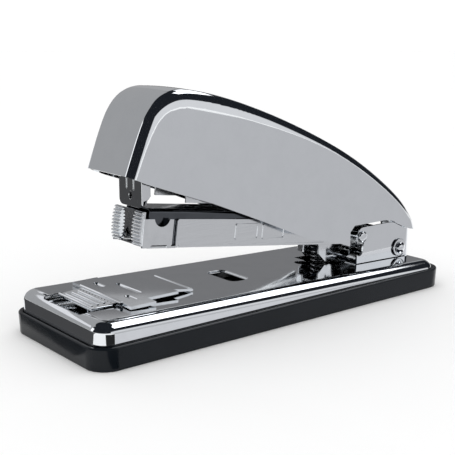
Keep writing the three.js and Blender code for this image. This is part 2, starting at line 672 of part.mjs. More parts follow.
function railBlocks() {
  const half = RAIL.half - RAIL.sheet - FIT;
  return BLOCKS.map(({ name, rear, front }) => {
    const solid = uvBox(rear, front, -half, half, RAIL.bottom, RAIL.top - RAIL.sheet - FIT)
      .subtract(cylinderX(0, ROD.v, ROD.radius + PUSHER.play, -front - 1, -rear + 1));
    return mesh(name, solid, NICKEL);
  });
}

function guideRod() {
  return mesh('pusher_rod', cylinderX(0, ROD.v, ROD.radius, -RAIL.front + FIT, -RAIL.rear - FIT), NICKEL);
}

function pusher() {
  const { front, length, half, top, bottom, play } = PUSHER;
  const rear = front - length;
  const slotOut = RAIL.half + play;
  const slotIn = RAIL.half - RAIL.sheet - play;
  const core = uvBox(rear - 2, front + 2, -slotIn, slotIn, 0, RAIL.top - RAIL.sheet - play);
  const track = uvBox(rear - 1, front + 1, -slotOut, slotOut, RAIL.bottom - play, RAIL.top + play).subtract(core);
  const solid = uvBox(rear, front, -half, half, bottom, top)
    .subtract(track)
    .subtract(cylinderX(0, ROD.v, ROD.radius + play, -front - 1, -rear + 1));
  return mesh('staple_pusher', solid, NICKEL);
}

function pusherSpring() {
  const { radius, wire, turns, rear } = PUSHER_SPRING;
  const length = PUSHER.front - PUSHER.length - 2 * FIT - rear;
  const coil = helix(radius, length / turns, turns, wire, 8, 4)
    .rotate([0, -90, 0]).translate([-rear, 0, ROD.v]);
  return mesh('pusher_spring', coil, SPRING_STEEL);
}

// One side of the clip's front: a serrated thumb wing standing proud of the plate.
function clipWing(sign) {
  const { back, wing, wingInner, half, bottom, top, ribs, rib } = CLIP;
  const [y0, y1] = [sign * wingInner, sign * half].sort((a, b) => a - b);
  const face = back + wing;
  const pitch = (top - bottom) / ribs;
  let solid = uvBox(back, face, y0, y1, bottom, top);
  for (let i = 0; i < ribs; i += 1) {
    const v = bottom + (i + 0.5) * pitch;
    const foot = pitch * 0.42;
    const ridge = [
      [face - 0.2, v - foot], [face, v - foot], [face - 0.7 + rib, v], [face, v + foot], [face - 0.2, v + foot],
    ];
    solid = solid.add(uvSlab(ridge, y0 + 0.4, y1 - 0.4));
  }
  return solid;
}

function frontClip() {
  const { half, sheet, back, rear, bottom, top, plate: face, wingInner, vee, notch } = CLIP;
  const inner = half - sheet;
  const under = bottom - 0.6;
  const shoulder = vee - wingInner + 0.3;
  const veeOutline = [
    [-wingInner, bottom - 1], [wingInner, bottom - 1], [wingInner, shoulder], [0, vee], [-wingInner, shoulder],
  ];
  const veeCut = skin([-back - 2, -back + 1].map((x) => veeOutline.map(([y, z]) => [x, y, z])), [1, 2]);
  const side = [
    [rear, bottom + 1], [rear + 9.5, bottom + 1], [rear + 10.5, under],
    [back + 0.5, under], [back + 0.5, CHANNEL.top - 0.4], [rear, CHANNEL.top - 0.4],
  ];
  const walls = uvSlab(side, -half, half).subtract(uvBox(rear - 1, back, -inner, inner, -5, REACH));
  const floorFront = back - 1.8;
  const floorTop = CHANNEL.bottom + CHANNEL.sheet;
  let solid = uvBox(back, back + face, -half, half, bottom, top)
    .subtract(veeCut)
    .add(clipWing(-1))
    .add(clipWing(1))
    .add(walls)
    .subtract(drillY(notch.u, notch.v, notch.radius))
    .add(uvBox(CHANNEL.front + 0.5, floorFront, -inner, inner, CHANNEL.bottom, floorTop));
  for (const { sign } of SIDES) {
    const y = sign * (half - sheet / 2);
    solid = solid.add(uvBox(rear, floorFront, y - sheet / 2, y + sheet / 2, CHANNEL.bottom, bottom + 1.2));
  }
  return mesh('front_clip', solid, CHROME);
}

// ---------- handle ----------

function shellCurve() {
  const curve = new THREE.SplineCurve(SHELL_KNOTS.map(([x, z]) => new THREE.Vector2(x, z)));
  const points = curve.getPoints(36).map((p) => [p.x, p.y]);
  return [...points, [SHELL.rear + 0.3, 10], [SHELL.front - 3.2, 10], [SHELL.front - 2.6, 40]];
}

function offset(points, distance) {
  const n = points.length;
  return points.map(([x, z], i) => {
    const [xa, za] = points[(i + n - 1) % n];
    const [xb, zb] = points[(i + 1) % n];
    const d = new THREE.Vector2(x - xa, z - za).normalize();
    const e = new THREE.Vector2(xb - x, zb - z).normalize();
    const tangent = d.clone().add(e).normalize();
    const stretch = 1 / Math.max(0.5, tangent.dot(d));
    return [x + tangent.y * distance * stretch, z - tangent.x * distance * stretch];
  });
}

function shellHalf(x) {
  const t = (x - SHELL.front) / (SHELL.rear - SHELL.front);
  return SHELL.halfFront + (SHELL.halfRear - SHELL.halfFront) * t;
}

// Full body of the handle before its underside is opened; thinner copies make the hollow.
function handleBody(inset, roll) {
  const outline = shellCurve();
  const steps = 4;
  const rings = [];
  for (const side of [-1, 1]) {
    for (let k = 0; k <= steps; k += 1) {
      const a = ((side < 0 ? steps - k : k) / steps) * (Math.PI / 2);
      const inward = inset + roll * (1 - Math.cos(a));
      rings.push(offset(outline, inward).reverse().map(([x, z]) => {
        const y = shellHalf(x) - inset - roll + roll * Math.sin(a);
        return [x, side * y, z];
      }));
    }
  }
  return skin(rings, [0, 2], true);
}

function shell() {
  const below = [[90, 0], [-80, 0], [-80, 61.9]];
  const underside = slab([...SHELL_EDGE, ...below].reverse(), -BASE.width / 2, BASE.width / 2);
  const solid = handleBody(0, SHELL.roll)
    .subtract(handleBody(SHELL.sheet, SHELL.roll - SHELL.sheet))
    .subtract(underside);
  return mesh('handle_shell', solid, CHROME);
}

// Inverted channel that carries the blade and straddles the magazine.
function frame() {
  const world = (p) => [PIVOT.x + p[0], PIVOT.z + p[1]];
  const ear = arcPoints(0, 0, FRAME.ear, Math.PI * 1.05, Math.PI * 2.2, 9);
  const outline = [...FRAME_LOWER, ...ear, [6, 12], ...FRAME_UPPER].map(world);
  const inner = FRAME.half - FRAME.sheet;
  const ceiling = FRAME_UPPER.slice(0, -1).map(([x, z]) => [x, z - FRAME.sheet]);
  const hollow = [[-130, -6], [20, -6], [20, 16], ...ceiling, [-130, 56]];
  let solid = slab(outline, -FRAME.half, FRAME.half)
    .subtract(slab(hollow.map(world), -inner, inner));
  solid = solid.subtract(cylinderY(PIVOT.x, PIVOT.z, PIVOT.hole, -REACH, REACH));
  solid = solid.subtract(cylinderY(TIE.x, TIE.z, TIE.hole, -REACH, REACH));
  return mesh('handle_frame', solid, NICKEL);
}

function tieRod() {
  const y = shellHalf(TIE.x) - SHELL.sheet - FIT;
  return mesh('shell_tie_rod', cylinderY(TIE.x, TIE.z, TIE.radius, -y, y, 16), NICKEL);
}

// The blade is an arc about the pivot, so that it stays in its guide as the handle turns.
function bladeArc(from, to) {
  const a = Math.PI - TILT - THREE.MathUtils.degToRad(from);
  const b = Math.PI - TILT - THREE.MathUtils.degToRad(to);
  return [
    ...arcPoints(PIVOT.x, PIVOT.z, BLADE.outer, a, b, 8),
    ...arcPoints(PIVOT.x, PIVOT.z, BLADE.inner, b, a, 8),
  ].reverse();
}

function blade() {
  return mesh('driver_blade', slab(bladeArc(BLADE.low, BLADE.high), -BLADE.half, BLADE.half), SPRING_STEEL);
}

function bladeHolder() {
  const world = HOLDER_OUTLINE.map(([x, z]) => [PIVOT.x + x, PIVOT.z + z]).reverse();
  return mesh('blade_holder', slab(world, -HOLDER_HALF, HOLDER_HALF), NICKEL);
}

function handleSpring() {
  const height = HANDLE_SPRING.top - HANDLE_SPRING.bottom;
  const solid = helix(HANDLE_SPRING.radius, height / HANDLE_SPRING.turns, HANDLE_SPRING.turns,
    HANDLE_SPRING.wire, 12, 6).translate([-HANDLE_SPRING.u, 0, HANDLE_SPRING.bottom]);
  return mesh('handle_spring', solid, SPRING_STEEL);
}

// ---------- assembly ----------

const base = group(
  tray(), cover(), posts(), screws(), bracket(), bracketRivets(), pivotRivet(), pivotRings(),
  springSeat(), returnSpring(), anvilSpring(),
);
const anvil = group(anvilPlate(), anvilKeeper());

const tilted = group(
  channel(), topChannel(), springStirrup(), guidePost(),
  rail(), railBlocks(), guideRod(), frontClip(), pusher(), pusherSpring(), handleSpring(),
);
tilted.position.set(PIVOT.x, 0, PIVOT.z);
tilted.rotation.y = TILT;

const handle = group(shell(), frame(), tieRod(), blade(), bladeHolder());

const stapler = group(base, anvil, tilted, noseShield(), stopPin(), handle);

export default stapler;
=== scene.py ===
import math

import bmesh
import bpy
from mathutils import Matrix, Vector


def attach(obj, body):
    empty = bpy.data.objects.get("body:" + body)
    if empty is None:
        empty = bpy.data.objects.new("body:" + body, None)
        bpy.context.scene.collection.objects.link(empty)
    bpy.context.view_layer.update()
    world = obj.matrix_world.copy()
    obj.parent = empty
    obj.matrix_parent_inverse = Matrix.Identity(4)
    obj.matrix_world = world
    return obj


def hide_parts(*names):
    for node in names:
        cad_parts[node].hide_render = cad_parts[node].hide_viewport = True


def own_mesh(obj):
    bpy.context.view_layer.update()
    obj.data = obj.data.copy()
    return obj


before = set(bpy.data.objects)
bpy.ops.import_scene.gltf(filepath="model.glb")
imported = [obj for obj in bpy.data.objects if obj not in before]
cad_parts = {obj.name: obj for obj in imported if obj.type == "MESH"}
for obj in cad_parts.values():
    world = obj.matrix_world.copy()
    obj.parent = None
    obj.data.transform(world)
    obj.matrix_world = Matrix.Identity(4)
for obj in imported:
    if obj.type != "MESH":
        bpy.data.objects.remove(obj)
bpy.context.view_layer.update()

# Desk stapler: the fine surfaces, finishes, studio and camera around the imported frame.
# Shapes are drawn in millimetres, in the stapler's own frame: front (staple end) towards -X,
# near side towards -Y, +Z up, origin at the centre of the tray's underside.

MM = 0.001
FIT = 0.3
SIDES = (-1, 1)

# ---------- driving dimensions ----------

BASE_HALF_LENGTH = 85
BASE_HALF_WIDTH = 30.2
BASE_CORNER = 8.2
TRAY_HEIGHT = 8
TRAY_DRAFT = 0.36
TRAY_WALL = 1.7
TRAY_FLOOR = 3
COVER_INSET = 2
COVER_SHEET = 1
COVER_ROLL_IN = 4.8          # how far the cover's rounded edge reaches inwards
COVER_ROLL_DOWN = 3.8        # and how far it reaches down
COVER_FRONT = 16
COVER_REAR = 10.75

PIVOT_X, PIVOT_Z = 72.6, 15.4
TILT = math.radians(7.6)
BRACKET_HALF = 15
BRACKET_SHEET = 0.8
BRACKET_BACK = 81
BRACKET_RIVET_X = (56, 62)
BRACKET_RIVET_Y = 10.5
RIVET_HOLE = 1.5
PIVOT_HOLE = 1.9
STOP_RADIUS = 23.7
STOP_SLOT = 1.9
STOP_ANGLE = math.radians(19.2)

SHELL_SHEET = 1
SHELL_ROLL = 2.8             # how far the shoulder reaches across
SHELL_ROLL_DEPTHS = (4.0, 6.5, 3.4)    # and down: at the front, the crest and the rear
SHELL_CROWN = 0.35           # how far the back falls away towards its shoulders
SHELL_INSET = 0.05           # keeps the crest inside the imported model's height
SHELL_FRONT, SHELL_REAR = -62, 82.6
SHELL_HALF_FRONT, SHELL_HALF_REAR = 14.4, 17

ANVIL_RISE = 1.75
ANVIL_GROOVE = PIVOT_X - 126.2
ANVIL_THROW = 5.7

RETURN_SPRING_X, RETURN_SPRING_Z = 41, 5.4
HANDLE_SPRING_U, HANDLE_SPRING_V = 76, 14.85
PUSHER_SPRING_U = 30.6
ROD_V = 4.8

CLIP_HALF = 9.4
CLIP_BACK = 127
CLIP_REAR = 115
CLIP_BOTTOM = 1.4
CLIP_TOP = 13.4

SHELL_KNOTS = (
    (-62, 59.2), (-58.4, 68.6), (-55.6, 75.2), (-53.4, 79.4), (-50.4, 83.2), (-46.6, 85.9),
    (-41.6, 87.4), (-36, 87.2), (-28, 85.8), (-18, 83.2), (-8, 80), (3, 76), (15, 71.1), (28, 65.2),
    (41, 58.6), (53.5, 51), (64.5, 43.2), (72.5, 36.6), (77.6, 30.9), (80.8, 26.4), (82.6, 21.5),
)
SHELL_EDGE = (
    (-70, 61.9), (-62.4, 59.6), (-54, 56), (-27, 46.4), (-4, 37), (19.5, 26.8), (34, 23.4),
    (42, 20.5), (42, 26.4), (44.4, 28.8), (62, 28.8), (66, 28.2), (71.7, 25.6), (76.9, 23.3), (90, 20.5),
)


# ---------- outlines ----------

def arc(cx, cy, radius, start, end, count):
    """Points on a circle; start and end are in degrees."""
    step = (end - start) / count
    angles = [math.radians(start + step * i) for i in range(count + 1)]
    return [(cx + radius * math.cos(a), cy + radius * math.sin(a)) for a in angles]


def rounded_rectangle(x0, x1, y0, y1, radius, count=8):
    return (
        arc(x1 - radius, y1 - radius, radius, 0, 90, count)
        + arc(x0 + radius, y1 - radius, radius, 90, 180, count)
        + arc(x0 + radius, y0 + radius, radius, 180, 270, count)
        + arc(x1 - radius, y0 + radius, radius, 270, 360, count)
    )


def base_outline(inset, count=20):
    x = BASE_HALF_LENGTH - inset
    y = BASE_HALF_WIDTH - inset
    return rounded_rectangle(-x, x, -y, y, BASE_CORNER - inset, count)


def cover_top(x):
    share = (x + BASE_HALF_LENGTH) / (2 * BASE_HALF_LENGTH)
    return COVER_FRONT + (COVER_REAR - COVER_FRONT) * share


def tilted(u, y, v):
    """A point of the tilted magazine: u forward of the pivot, v above its level."""
    x = PIVOT_X - u * math.cos(TILT) + v * math.sin(TILT)
    z = PIVOT_Z + u * math.sin(TILT) + v * math.cos(TILT)
    return (x, y, z)


def smooth_curve(knots, per_span):
    """Cubic B-spline whose control points are pushed out so that it passes close to the knots."""
    ends = [knots[0]] + list(knots) + [knots[-1]]
    control = []
    for before, here, after in zip(ends, ends[1:], ends[2:]):
        pull = [(before[k] + 4 * here[k] + after[k]) / 6 for k in (0, 1)]
        control.append((2 * here[0] - pull[0], 2 * here[1] - pull[1]))
    first = (2 * control[0][0] - control[1][0], 2 * control[0][1] - control[1][1])
    last = (2 * control[-1][0] - control[-2][0], 2 * control[-1][1] - control[-2][1])
    control = [first] + control + [last]
    points = []
    for i in range(len(control) - 3):
        for step in range(per_span):
            t = step / per_span
            weights = (
                (1 - t) ** 3, 3 * t ** 3 - 6 * t ** 2 + 4, -3 * t ** 3 + 3 * t ** 2 + 3 * t + 1, t ** 3,
            )
            points.append(tuple(
                sum(w * control[i + j][k] for j, w in enumerate(weights)) / 6 for k in (0, 1)
            ))
    return points + [tuple(knots[-1])]


def offset_outline(points, distances):
    """Moves a closed clockwise outline inwards, each point by its own distance."""
    moved = []
    count = len(points)
    for i, (point, distance) in enumerate(zip(points, distances)):
        before = Vector(points[i - 1])
        here = Vector(point)
        after = Vector(points[(i + 1) % count])
        tangent = ((here - before).normalized() + (after - here).normalized()).normalized()
        stretch = 1 / max(0.5, tangent.dot((here - before).normalized()))
        moved.append((here.x + tangent.y * distance * stretch, here.y - tangent.x * distance * stretch))
    return moved


# ---------- solids ----------

workshop = bpy.data.collections.new("workshop")
bpy.context.scene.collection.children.link(workshop)


def blank(verts, faces):
    """A closed working solid in millimetres."""
    mesh = bpy.data.meshes.new("blank")
    mesh.from_pydata([tuple(v) for v in verts], [], faces)
    build = bmesh.new()
    build.from_mesh(mesh)
    bmesh.ops.remove_doubles(build, verts=build.verts, dist=1e-5)
    bmesh.ops.recalc_face_normals(build, faces=build.faces)
    build.to_mesh(mesh)
    build.free()
    solid = bpy.data.objects.new("blank", mesh)
    workshop.objects.link(solid)
    return solid


def loft(rings):
    """Closed skin over rings with equal point counts, capped at both ends."""
    count = len(rings[0])
    faces = [tuple(range(count))[::-1]]
    for k in range(len(rings) - 1):
        for i in range(count):
            a = k * count + i
            b = k * count + (i + 1) % count
            faces.append((a, b, b + count, a + count))
    last = (len(rings) - 1) * count
    faces.append(tuple(range(last, last + count)))
    return blank([p for ring in rings for p in ring], faces)


def block(x0, x1, y0, y1, z0, z1):
    return loft([[(x0, y0, z), (x1, y0, z), (x1, y1, z), (x0, y1, z)] for z in (z0, z1)])


def side_prism(outline, y0, y1):
    """An outline in X and Z, run across the stapler."""
    return loft([[(x, y, z) for x, z in outline] for y in (y0, y1)])


def flat_prism(outline, z0, z1):
    return loft([[(x, y, z) for x, y in outline] for z in (z0, z1)])


def tilted_prism(outline, y0, y1):
    """An outline in the magazine's u and v, run across the stapler."""
    return loft([[tilted(u, y, v) for u, v in outline] for y in (y0, y1)])


def tilted_block(u0, u1, y0, y1, v0, v1):
    return tilted_prism([(u0, v0), (u1, v0), (u1, v1), (u0, v1)], y0, y1)


def onto_magazine(solid):
    """Moves a solid drawn in the magazine's own u and v (as X and Z) to its place."""
    c, s = math.cos(TILT), math.sin(TILT)
    solid.data.transform(Matrix(((-c, 0, s, PIVOT_X), (0, 1, 0, 0), (s, 0, c, PIVOT_Z), (0, 0, 0, 1))))
    solid.data.flip_normals()
    return solid


def turned(profile, centre, axis, segments=48):
    """A turned piece: profile points are (radius, height along the axis) from axis to axis."""
    across = {"X": (1, 2, 0), "Y": (2, 0, 1), "Z": (0, 1, 2)}[axis]
    rings = []
    for radius, height in profile:
        ring = []
        for i in range(segments):
            angle = 2 * math.pi * i / segments
            point = [0, 0, 0]
            point[across[0]] = max(radius, 1e-4) * math.cos(angle) + centre[across[0]]
            point[across[1]] = max(radius, 1e-4) * math.sin(angle) + centre[across[1]]
            point[across[2]] = height + centre[across[2]]
            ring.append(point)
        rings.append(ring)
    return loft(rings)


def drill(centre, radius, reach=20, axis="Y", segments=48):
    return turned([(radius, -reach), (radius, reach)], centre, axis, segments)


def settle(solid):
    """Applies every modifier on a solid."""
    depsgraph = bpy.context.evaluated_depsgraph_get()
    made = bpy.data.meshes.new_from_object(solid.evaluated_get(depsgraph), depsgraph=depsgraph)
    old = solid.data
    solid.modifiers.clear()
    solid.data = made
    bpy.data.meshes.remove(old)
    return solid


def combine(solid, tools, operation):
    for tool in tools:
        step = solid.modifiers.new("combine", "BOOLEAN")
        step.operation = operation
        step.solver = "EXACT"
        step.object = tool
        settle(solid)
        bpy.data.objects.remove(tool)
    return solid


def cut(solid, *tools):
    return combine(solid, tools, "DIFFERENCE")


def weld(solid, *tools):
    return combine(solid, tools, "UNION")


def common(solid, *tools):
    return combine(solid, tools, "INTERSECT")


def ease_edges(solid, width, segments=3, angle=32):
    """Rounds the sharp edges, as pressing and polishing leave them."""
    build = bmesh.new()
    build.from_mesh(solid.data)
    bmesh.ops.remove_doubles(build, verts=build.verts, dist=2e-4)
    bmesh.ops.dissolve_limit(build, angle_limit=math.radians(0.2), verts=build.verts, edges=build.edges)
    bmesh.ops.recalc_face_normals(build, faces=build.faces)
    build.to_mesh(solid.data)
    build.free()
    round_over = solid.modifiers.new("round", "BEVEL")
    round_over.width = width
    round_over.segments = segments
    round_over.limit_method = "ANGLE"
    round_over.angle_limit = math.radians(angle)
    round_over.use_clamp_overlap = True
    round_over.miter_outer = "MITER_ARC"
    return settle(solid)


def piece(solid, name, body, finish, replaced=None):
    """Turns a working solid into a finished piece of the stapler."""
    mesh = solid.data
    mesh.transform(Matrix.Scale(MM, 4))
    for face in mesh.polygons:
        face.use_smooth = True
    weighting = solid.modifiers.new("weighting", "WEIGHTED_NORMAL")
    weighting.weight = 90
    weighting.keep_sharp = True
    settle(solid)
    solid.name = name
    solid.data.name = name
    solid.data.materials.clear()
    solid.data.materials.append(finish)
    workshop.objects.unlink(solid)
    bpy.context.scene.collection.objects.link(solid)
    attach(solid, body)
    if replaced:
        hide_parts(replaced)
    return solid


def coil_wire(place, radius, wire, length, turns, steps=28, sides=10):
    """Closed spring wire: place(a, b, h) turns coil coordinates into the stapler's frame."""
    count = int(turns * steps)
    rings = []
    for i in range(count + 1):
        share = i / count
        flat_ends = min(1, share * turns, (1 - share) * turns)
        height = wire + (length - 2 * wire) * share
        height += (1 - flat_ends) * (length / turns - 2.2 * wire) * (0.5 if share > 0.5 else -0.5)
        height = min(max(height, wire), length - wire)
        angle = 2 * math.pi * turns * share
        ring = []
        for k in range(sides):
            around = 2 * math.pi * k / sides
            out = radius + wire * math.cos(around)
            ring.append(place(out * math.cos(angle), out * math.sin(angle), height + wire * math.sin(around)))
        rings.append(ring)
    return loft(rings)


# ---------- shared shader effects ----------

def new_group(name, inputs, outputs):
    group = bpy.data.node_groups.new(name, "ShaderNodeTree")
    for label, kind, value in inputs:
        group.interface.new_socket(label, in_out="INPUT", socket_type=kind).default_value = value
    for label, kind in outputs:
        group.interface.new_socket(label, in_out="OUTPUT", socket_type=kind)
    return group, group.nodes.new("NodeGroupInput"), group.nodes.new("NodeGroupOutput")


def add(tree, kind, **settings):
    node = tree.nodes.new(kind)
    for key, value in settings.items():
        setattr(node, key, value)
    return node


def maths(tree, operation, a, b):
    node = add(tree, "ShaderNodeMath", operation=operation)
    for socket, value in zip(node.inputs, (a, b)):
        if isinstance(value, (int, float)):
            socket.default_value = value
        else:
            tree.links.new(value, socket)
    return node.outputs[0]


def spread(tree, value, low, high, to_low=0.0, to_high=1.0):
    node = add(tree, "ShaderNodeMapRange", interpolation_type="SMOOTHSTEP")
    tree.links.new(value, node.inputs["Value"])
    for label, number in (("From Min", low), ("From Max", high), ("To Min", to_low), ("To Max", to_high)):
        node.inputs[label].default_value = number
    return node.outputs[0]


def object_millimetres(tree, stretch=(1, 1, 1)):
    """The piece's own coordinates in millimetres, stretched along an axis where the grain runs."""
    source = add(tree, "ShaderNodeTexCoord")
    mapping = add(tree, "ShaderNodeMapping")
    mapping.inputs["Scale"].default_value = [1000 * s for s in stretch]
    tree.links.new(source.outputs["Object"], mapping.inputs["Vector"])
    return mapping.outputs["Vector"]


def noise(tree, vector, scale, detail=2, roughness=0.5):
    node = add(tree, "ShaderNodeTexNoise")
    tree.links.new(vector, node.inputs["Vector"])
    if isinstance(scale, (int, float)):
        node.inputs["Scale"].default_value = scale
    else:
        tree.links.new(scale, node.inputs["Scale"])
    node.inputs["Detail"].default_value = detail
    node.inputs["Roughness"].default_value = roughness
    return node.outputs["Fac"]


def make_polish_haze():
    """Soft clouds left by the polishing mop, and a long-wave ripple in the sheet."""
    group, inside, outside = new_group(
        "polish_haze",
        [("Cloud Scale", "NodeSocketFloat", 0.12), ("Ripple Scale", "NodeSocketFloat", 0.05)],
        [("Mask", "NodeSocketFloat"), ("Height", "NodeSocketFloat")],
    )
    place = object_millimetres(group)
    clouds = noise(group, place, inside.outputs["Cloud Scale"], 4, 0.6)
    ripple = noise(group, place, inside.outputs["Ripple Scale"], 1, 0.4)
    group.links.new(spread(group, clouds, 0.35, 0.7), outside.inputs["Mask"])
    group.links.new(ripple, outside.inputs["Height"])
    return group


def make_hairlines():
    """Fine handling scratches in two directions."""
    group, inside, outside = new_group(
        "hairlines",
        [("Amount", "NodeSocketFloat", 0.5)],
        [("Mask", "NodeSocketFloat"), ("Height", "NodeSocketFloat")],
    )
    masks = []
    for stretch in ((0.06, 2.2, 1.6), (1.9, 0.09, 0.7)):
        line = noise(group, object_millimetres(group, stretch), 1.0, 3, 0.7)
        masks.append(spread(group, line, 0.62, 0.72))
    both = maths(group, "MAXIMUM", masks[0], masks[1])
    patches = spread(group, noise(group, object_millimetres(group), 0.04, 2), 0.4, 0.65)
    seen = maths(group, "MULTIPLY", maths(group, "MULTIPLY", both, patches), inside.outputs["Amount"])
    group.links.new(seen, outside.inputs["Mask"])
    group.links.new(maths(group, "SUBTRACT", 1.0, seen), outside.inputs["Height"])
    return group


def make_settled_dust():
    """Thin dust that lies on faces that look up."""
    group, inside, outside = new_group(
        "settled_dust",
        [("Amount", "NodeSocketFloat", 0.3)],
        [("Mask", "NodeSocketFloat")],
    )
    geometry = add(group, "ShaderNodeNewGeometry")
    split = add(group, "ShaderNodeSeparateXYZ")
    group.links.new(geometry.outputs["Normal"], split.inputs[0])
    upward = spread(group, split.outputs["Z"], 0.6, 1.0)
    specks = spread(group, noise(group, object_millimetres(group), 2.4, 4, 0.7), 0.5, 0.75)
    lying = maths(group, "MULTIPLY", maths(group, "MULTIPLY", upward, specks), inside.outputs["Amount"])
    group.links.new(lying, outside.inputs["Mask"])
    return group


def make_rolled_grain():
    """The grain that the rolling mill leaves along the sheet."""
    group, inside, outside = new_group(
        "rolled_grain",
        [("Scale", "NodeSocketFloat", 1.0)],
        [("Mask", "NodeSocketFloat"), ("Height", "NodeSocketFloat")],
    )
    along = object_millimetres(group, (0.05, 3.0, 3.0))
    lines = noise(group, along, inside.outputs["Scale"], 4, 0.65)
    group.links.new(spread(group, lines, 0.35, 0.68), outside.inputs["Mask"])
    group.links.new(lines, outside.inputs["Height"])
    return group


def make_moulded_grain():
    """The fine spark-eroded texture of a mould, with faint flow clouds."""
    group, inside, outside = new_group(
        "moulded_grain",
        [("Scale", "NodeSocketFloat", 3.0)],
        [("Mask", "NodeSocketFloat"), ("Height", "NodeSocketFloat")],
    )
    place = object_millimetres(group)
    fine = noise(group, place, inside.outputs["Scale"], 3, 0.6)
    flow = noise(group, place, 0.06, 2, 0.5)
    group.links.new(spread(group, flow, 0.35, 0.7), outside.inputs["Mask"])
    group.links.new(fine, outside.inputs["Height"])
    return group


polish_haze = make_polish_haze()
hairlines = make_hairlines()
settled_dust = make_settled_dust()
rolled_grain = make_rolled_grain()
moulded_grain = make_moulded_grain()


# ---------- finishes ----------

def use(tree, group, **values):
    node = add(tree, "ShaderNodeGroup", node_tree=group)
    for label, value in values.items():
        node.inputs[label.replace("_", " ")].default_value = value
    return node


def blend_colour(tree, factor, first, second):
    node = add(tree, "ShaderNodeMix", data_type="RGBA")
    tree.links.new(factor, node.inputs["Factor"])
    for socket, value in ((node.inputs["A"], first), (node.inputs["B"], second)):
        if isinstance(value, tuple):
            socket.default_value = (*value, 1)
        else:
            tree.links.new(value, socket)
    return node.outputs["Result"]


def bump(tree, height, distance, under=None):
    node = add(tree, "ShaderNodeBump")
    node.inputs["Strength"].default_value = 1.0
    node.inputs["Distance"].default_value = distance * MM
    tree.links.new(height, node.inputs["Height"])
    if under is not None:
        tree.links.new(under, node.inputs["Normal"])
    return node.outputs["Normal"]


def new_finish(name, metallic):
    finish = bpy.data.materials.new(name)
    finish.use_nodes = True
    tree = finish.node_tree
    shader = tree.nodes["Principled BSDF"]
    shader.inputs["Metallic"].default_value = metallic
    return finish, tree, shader


def plated_metal(name, tone, cloud_tone, roughness, haze, scratches, ripple, dust):
    """Bright plating: clouds of polish, hairlines and a breath of dust."""
    finish, tree, shader = new_finish(name, 1.0)
    polish = use(tree, polish_haze)
    lines = use(tree, hairlines, Amount=scratches)
    dirt = use(tree, settled_dust, Amount=dust)
    colour = blend_colour(tree, polish.outputs["Mask"], tone, cloud_tone)
    colour = blend_colour(tree, dirt.outputs["Mask"], colour, (0.5, 0.49, 0.47))
    tree.links.new(colour, shader.inputs["Base Color"])
    rough = spread(tree, polish.outputs["Mask"], 0, 1, roughness, roughness + haze)
    rough = maths(tree, "ADD", rough, maths(tree, "MULTIPLY", lines.outputs["Mask"], 0.08))
    rough = maths(tree, "ADD", rough, maths(tree, "MULTIPLY", dirt.outputs["Mask"], 0.25))
    tree.links.new(rough, shader.inputs["Roughness"])
    waves = bump(tree, polish.outputs["Height"], ripple)
    tree.links.new(bump(tree, lines.outputs["Height"], 0.0006, waves), shader.inputs["Normal"])
    return finish


def mirror_chrome():
    tones = (0.86, 0.885, 0.91), (0.84, 0.865, 0.89)
    return plated_metal("mirror_chrome", *tones, 0.04, 0.015, 0.12, 0.02, 0.02)


def pressed_chrome():
    return plated_metal("pressed_chrome", (0.84, 0.86, 0.88), (0.78, 0.80, 0.82), 0.07, 0.03, 0.4, 0.04, 0.05)


def base_chrome():
    return plated_metal("base_chrome", (0.86, 0.885, 0.91), (0.83, 0.855, 0.88), 0.05, 0.02, 0.3, 0.04, 0.05)


def turned_nickel():
    return plated_metal("turned_nickel", (0.78, 0.77, 0.75), (0.70, 0.69, 0.67), 0.12, 0.05, 0.4, 0.03, 0.1)


def dark_nickel():
    return plated_metal("dark_nickel", (0.11, 0.118, 0.13), (0.09, 0.097, 0.107), 0.10, 0.04, 0.4, 0.03, 0.05)


def sheet_steel(name, tone, grain_tone, roughness, depth):
    """Satin sheet with the mill's grain in it."""
    finish, tree, shader = new_finish(name, 1.0)
    grain = use(tree, rolled_grain)
    dirt = use(tree, settled_dust, Amount=0.15)
    colour = blend_colour(tree, grain.outputs["Mask"], tone, grain_tone)
    colour = blend_colour(tree, dirt.outputs["Mask"], colour, (0.4, 0.38, 0.35))
    tree.links.new(colour, shader.inputs["Base Color"])
    rough = spread(tree, grain.outputs["Mask"], 0, 1, roughness, roughness + 0.08)
    rough = maths(tree, "ADD", rough, maths(tree, "MULTIPLY", dirt.outputs["Mask"], 0.2))
    tree.links.new(rough, shader.inputs["Roughness"])
    tree.links.new(bump(tree, grain.outputs["Height"], depth), shader.inputs["Normal"])
    return finish


def satin_nickel():
    return sheet_steel("satin_nickel", (0.66, 0.67, 0.68), (0.60, 0.61, 0.62), 0.18, 0.004)


def bright_sheet():
    return sheet_steel("bright_sheet", (0.84, 0.86, 0.88), (0.80, 0.82, 0.84), 0.10, 0.0015)


def spring_wire():
    return sheet_steel("spring_wire", (0.42, 0.425, 0.44), (0.32, 0.325, 0.335), 0.2, 0.006)


def hardened_blade():
    return sheet_steel("hardened_blade", (0.38, 0.38, 0.40), (0.30, 0.305, 0.32), 0.22, 0.006)


